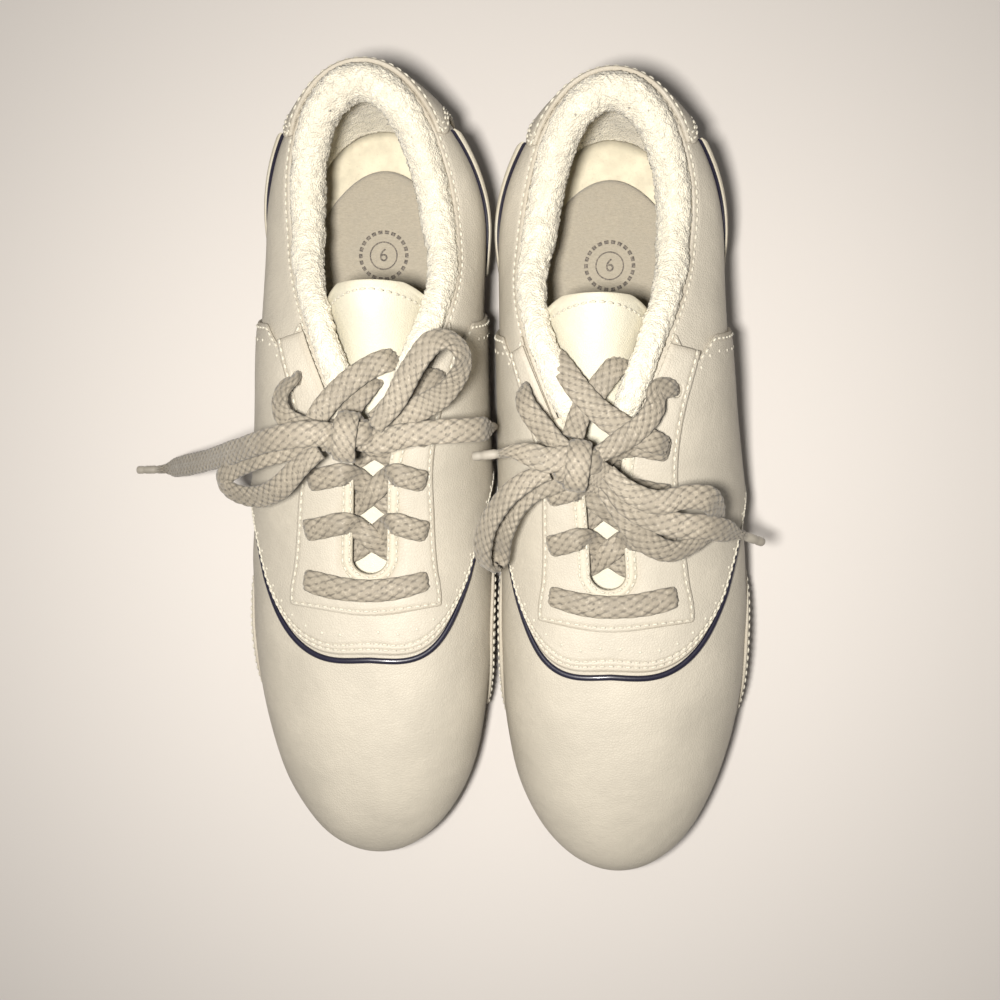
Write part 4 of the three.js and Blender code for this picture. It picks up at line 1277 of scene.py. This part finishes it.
def make_aglet(context, name, letter):
    """A moulded tip: a thin tube crimped twice round the end of the lace."""
    ends = strand(BOWS[name][f"aglet_{letter}"])
    along = unit(ends[1] - ends[0])
    across = unit(np.cross(along, (0.2, 0.1, 1.0)))
    third = np.cross(along, across)
    length = np.linalg.norm(ends[1] - ends[0])
    where = np.array([-0.35, -0.33, -0.1, 0.05, 0.1, 0.18, 0.23, 0.5, 0.6, 0.65, 0.73, 0.78, 0.96,
                      0.985, 1.0])
    size = np.array([1.1, 1.5, 1.55, 1.5, 1.3, 1.3, 1.48, 1.46, 1.46, 1.3, 1.3, 1.44, 1.42, 1.3,
                     0.9]) * MM
    turn = np.linspace(0, 2 * np.pi, 25)
    round_it = across * np.cos(turn)[:, None] + third * np.sin(turn)[:, None]
    rings = (ends[0] + along * (where * length)[:, None])[:, None] + round_it * size[:, None, None]
    tip = closed_tube(f"{name}_tip_{letter}", rings)
    keep(tip, f"{name}_shoe", finishes(context)["aglet"], [f"{name}_aglet_{letter}"])
    return tip


def on_tongue(x, y, lift):
    """A place over the tongue's middle, x to one side."""
    centre = tongue_point(np.array(0.0), np.array(float(y)))
    return centre + (x, 0, lift)


def make_lacing(context, name, side):
    """The laced stretch: a straight bar over the front eyelets and crossed runs behind it."""
    paint, sizes = finishes(context), context.scene.cheer_shoe_sizes
    body, first = f"{name}_shoe", True

    def run(label, points, faces, pinch):
        nonlocal first
        obj, _ = ribbon(f"{name}_lacing_{label}", in_pair(points, side),
                        unit(turned(np.array(faces, float), side)), sizes, pinch)
        keep(obj, body, paint["lace"], [f"{name}_lace_laced"] if first else ())
        first = False

    def at(sign, row, v, off):
        return on_last(sign * EYELETS[row], v, off)

    def out(sign, row, v, up=0.0):
        return last_normal(sign * EYELETS[row], v) + (0, 0, up)

    hole = [eyelet_height(s) for s in EYELETS]
    up = np.array([0, 0, 1.0])
    middle = on_last(0.0, 0.984, 5.0)
    ends = {sign: at(sign, 0, hole[0] + 0.001, 4.3) for sign in (-1, 1)}
    arch, looks = [at(-1, 0, hole[0], 0.4)], [out(-1, 0, hole[0]) + (-1.6, 0, 0)]
    for share in np.linspace(-1, 1, 9):
        end = ends[-1 if share < 0 else 1]
        arch.append(mix(middle, end, abs(share)) * (1, 0, 0)
                    + mix(middle, end, share ** 2) * (0, 1, 1))
        looks.append(out(np.sign(share) or 1, 0, hole[0]) * abs(share) + up * (1 - abs(share)))
    arch.append(at(1, 0, hole[0], 0.4))
    looks.append(out(1, 0, hole[0]) + (1.6, 0, 0))
    run("front_bar", arch, looks, (0.74, 0.74))
    for row in range(3):
        for sign in (1, -1):
            lift = 1.7 + (2.3 if sign == (-1) ** row else 0)
            start, end = at(-sign, row, 1.0, 0), at(sign, row + 1, 1.0, 0)
            y0, y1 = start[1] + 1.5, end[1] - 0.5
            if row == 0:
                y0 -= 1.0
            back = row + 1
            points = [on_tongue(-sign * 9.0, y0, 0.6),
                      on_tongue(-sign * 4.6, mix(y0, y1, 0.22), 1.6),
                      on_tongue(0, mix(y0, y1, 0.5), lift),
                      on_tongue(sign * 4.6, mix(y0, y1, 0.8), 3.4 + lift * 0.4),
                      at(sign, back, 0.99, 5.1), at(sign, back, mix(1, hole[back], 0.62), 5.0),
                      at(sign, back, hole[back] + 0.005, 4.3),
                      at(sign, back, hole[back] - 0.012, 0.8)]
            faces = [up, up, up, up, out(sign, back, 0.97, 0.6), out(sign, back, 0.92),
                     out(sign, back, hole[back]), out(sign, back, hole[back]) + (sign * 1.6, 0, 0)]
            run(f"cross_{back}_{'outer' if sign > 0 else 'inner'}", points, faces, (0.15, 0.66))


def make_extras(context, name, _side):
    paint, sizes = finishes(context), context.scene.cheer_shoe_sizes
    for label, (route, lean) in EXTRAS[name].items():
        pinch = (0.5, 0.3) if label.startswith("from") else (0.15, 0.15)
        obj, _ = ribbon(f"{name}_lace_{label}", strand(route), facings(route, lean), sizes, pinch)
        keep(obj, f"{name}_shoe", paint["lace"])


# ---- operators ----
class Maker:
    """An operator that runs its makers on each shoe."""
    bl_options = {"REGISTER", "UNDO"}
    makers = ()

    def execute(self, context):
        for make in self.makers:
            for name, side in SHOES.items():
                make(context, name, side)
        return {"FINISHED"}


class CHEER_OT_camera(bpy.types.Operator):
    """Set the camera over the pair, looking down"""
    bl_idname = "cheer.camera"
    bl_label = "Camera"
    bl_options = {"REGISTER", "UNDO"}

    def execute(self, context):
        sizes = context.scene.cheer_shoe_sizes
        data = bpy.data.cameras.new("Camera")
        data.sensor_width = 36
        data.lens = CAMERA_LENS
        camera = bpy.data.objects.new("Camera", data)
        camera.location = (*CAMERA_PLACE, sizes.camera_height)
        back = (camera.location - Vector(CAMERA_TARGET)).normalized()
        right = Vector((0, 1, 0)).cross(back).normalized()
        camera.rotation_euler = Matrix((right, back.cross(right), back)).transposed().to_euler()
        context.scene.collection.objects.link(camera)
        context.scene.camera = camera
        return {"FINISHED"}


class CHEER_OT_bows(Maker, bpy.types.Operator):
    """Make the free strands of both bows, their knots and their tips"""
    bl_idname = "cheer.bows"
    bl_label = "Bows"
    makers = (make_bow,)


class CHEER_OT_lacing(Maker, bpy.types.Operator):
    """Make the laced stretches and the runs that go up to the knots"""
    bl_idname = "cheer.lacing"
    bl_label = "Lacing"
    makers = (make_lacing, make_extras)


class CHEER_OT_upper(Maker, bpy.types.Operator):
    """Make the leather panels, their stitching and their perforations"""
    bl_idname = "cheer.upper"
    bl_label = "Leather upper"
    makers = (make_upper,)


class CHEER_OT_piping(Maker, bpy.types.Operator):
    """Make the dark piping arcs"""
    bl_idname = "cheer.piping"
    bl_label = "Piping"
    makers = (make_piping,)


class CHEER_OT_collar(Maker, bpy.types.Operator):
    """Make the padded towelling collars and linings"""
    bl_idname = "cheer.collar"
    bl_label = "Collars"
    makers = (make_collar,)


class CHEER_OT_tongue(Maker, bpy.types.Operator):
    """Make the tongues"""
    bl_idname = "cheer.tongue"
    bl_label = "Tongues"
    makers = (make_tongue,)


class CHEER_OT_insole(Maker, bpy.types.Operator):
    """Make the insole boards, the sock liners and their size marks"""
    bl_idname = "cheer.insole"
    bl_label = "Insoles"
    makers = (make_insole,)


class CHEER_OT_sole(Maker, bpy.types.Operator):
    """Make the outsoles, midsoles and treads"""
    bl_idname = "cheer.sole"
    bl_label = "Soles"
    makers = (make_sole,)


class CHEER_OT_stage(bpy.types.Operator):
    """Set the floor and the lights"""
    bl_idname = "cheer.stage"
    bl_label = "Floor and lights"
    bl_options = {"REGISTER", "UNDO"}

    def execute(self, context):
        colours = context.scene.cheer_shoe_colours
        bm = bmesh.new()
        bmesh.ops.create_grid(bm, x_segments=1, y_segments=1, size=3)
        floor = from_bmesh("floor", bm)
        floor.data.materials.append(floor_paint("Plain floor", tuple(colours.floor)))
        for name, place, size, power in LAMPS:
            data = bpy.data.lights.new(name, "AREA")
            data.shape, data.size, data.energy = "DISK", size, power
            data.color = LAMP_COLOUR
            lamp = bpy.data.objects.new(name, data)
            lamp.location = place
            lamp.rotation_euler = (-Vector(place)).to_track_quat("-Z", "Y").to_euler()
            context.scene.collection.objects.link(lamp)
        world = bpy.data.worlds.new("Studio")
        world.use_nodes = True
        ambient = world.node_tree.nodes["Background"].inputs
        ambient["Color"].default_value = WORLD_COLOUR
        ambient["Strength"].default_value = WORLD_STRENGTH
        context.scene.world = world
        context.scene.view_settings.view_transform = "Standard"
        return {"FINISHED"}


STEPS = (CHEER_OT_camera, CHEER_OT_bows, CHEER_OT_lacing, CHEER_OT_upper, CHEER_OT_piping,
         CHEER_OT_collar, CHEER_OT_tongue, CHEER_OT_insole, CHEER_OT_sole, CHEER_OT_stage)


class CHEER_PT_panel(bpy.types.Panel):
    """Lists the operators and the settings they read"""
    bl_idname = "CHEER_PT_panel"
    bl_label = "Cheer shoes"
    bl_space_type = "VIEW_3D"
    bl_region_type = "UI"
    bl_category = "Cheer shoes"

    def draw(self, context):
        for settings in (context.scene.cheer_shoe_sizes, context.scene.cheer_shoe_colours):
            for key in settings.__annotations__:
                self.layout.prop(settings, key)
        for step in STEPS:
            self.layout.operator(step.bl_idname)


CLASSES = (CheerShoeSizes, CheerShoeColours, *STEPS, CHEER_PT_panel)


def register():
    for cls in CLASSES:
        bpy.utils.register_class(cls)
    bpy.types.Scene.cheer_shoe_sizes = bpy.props.PointerProperty(type=CheerShoeSizes)
    bpy.types.Scene.cheer_shoe_colours = bpy.props.PointerProperty(type=CheerShoeColours)


def unregister():
    del bpy.types.Scene.cheer_shoe_colours
    del bpy.types.Scene.cheer_shoe_sizes
    for cls in reversed(CLASSES):
        bpy.utils.unregister_class(cls)


def main():
    register()
    for step in STEPS:
        group, name = step.bl_idname.split(".")
        getattr(getattr(bpy.ops, group), name)()


if __name__ == "__main__":
    main()
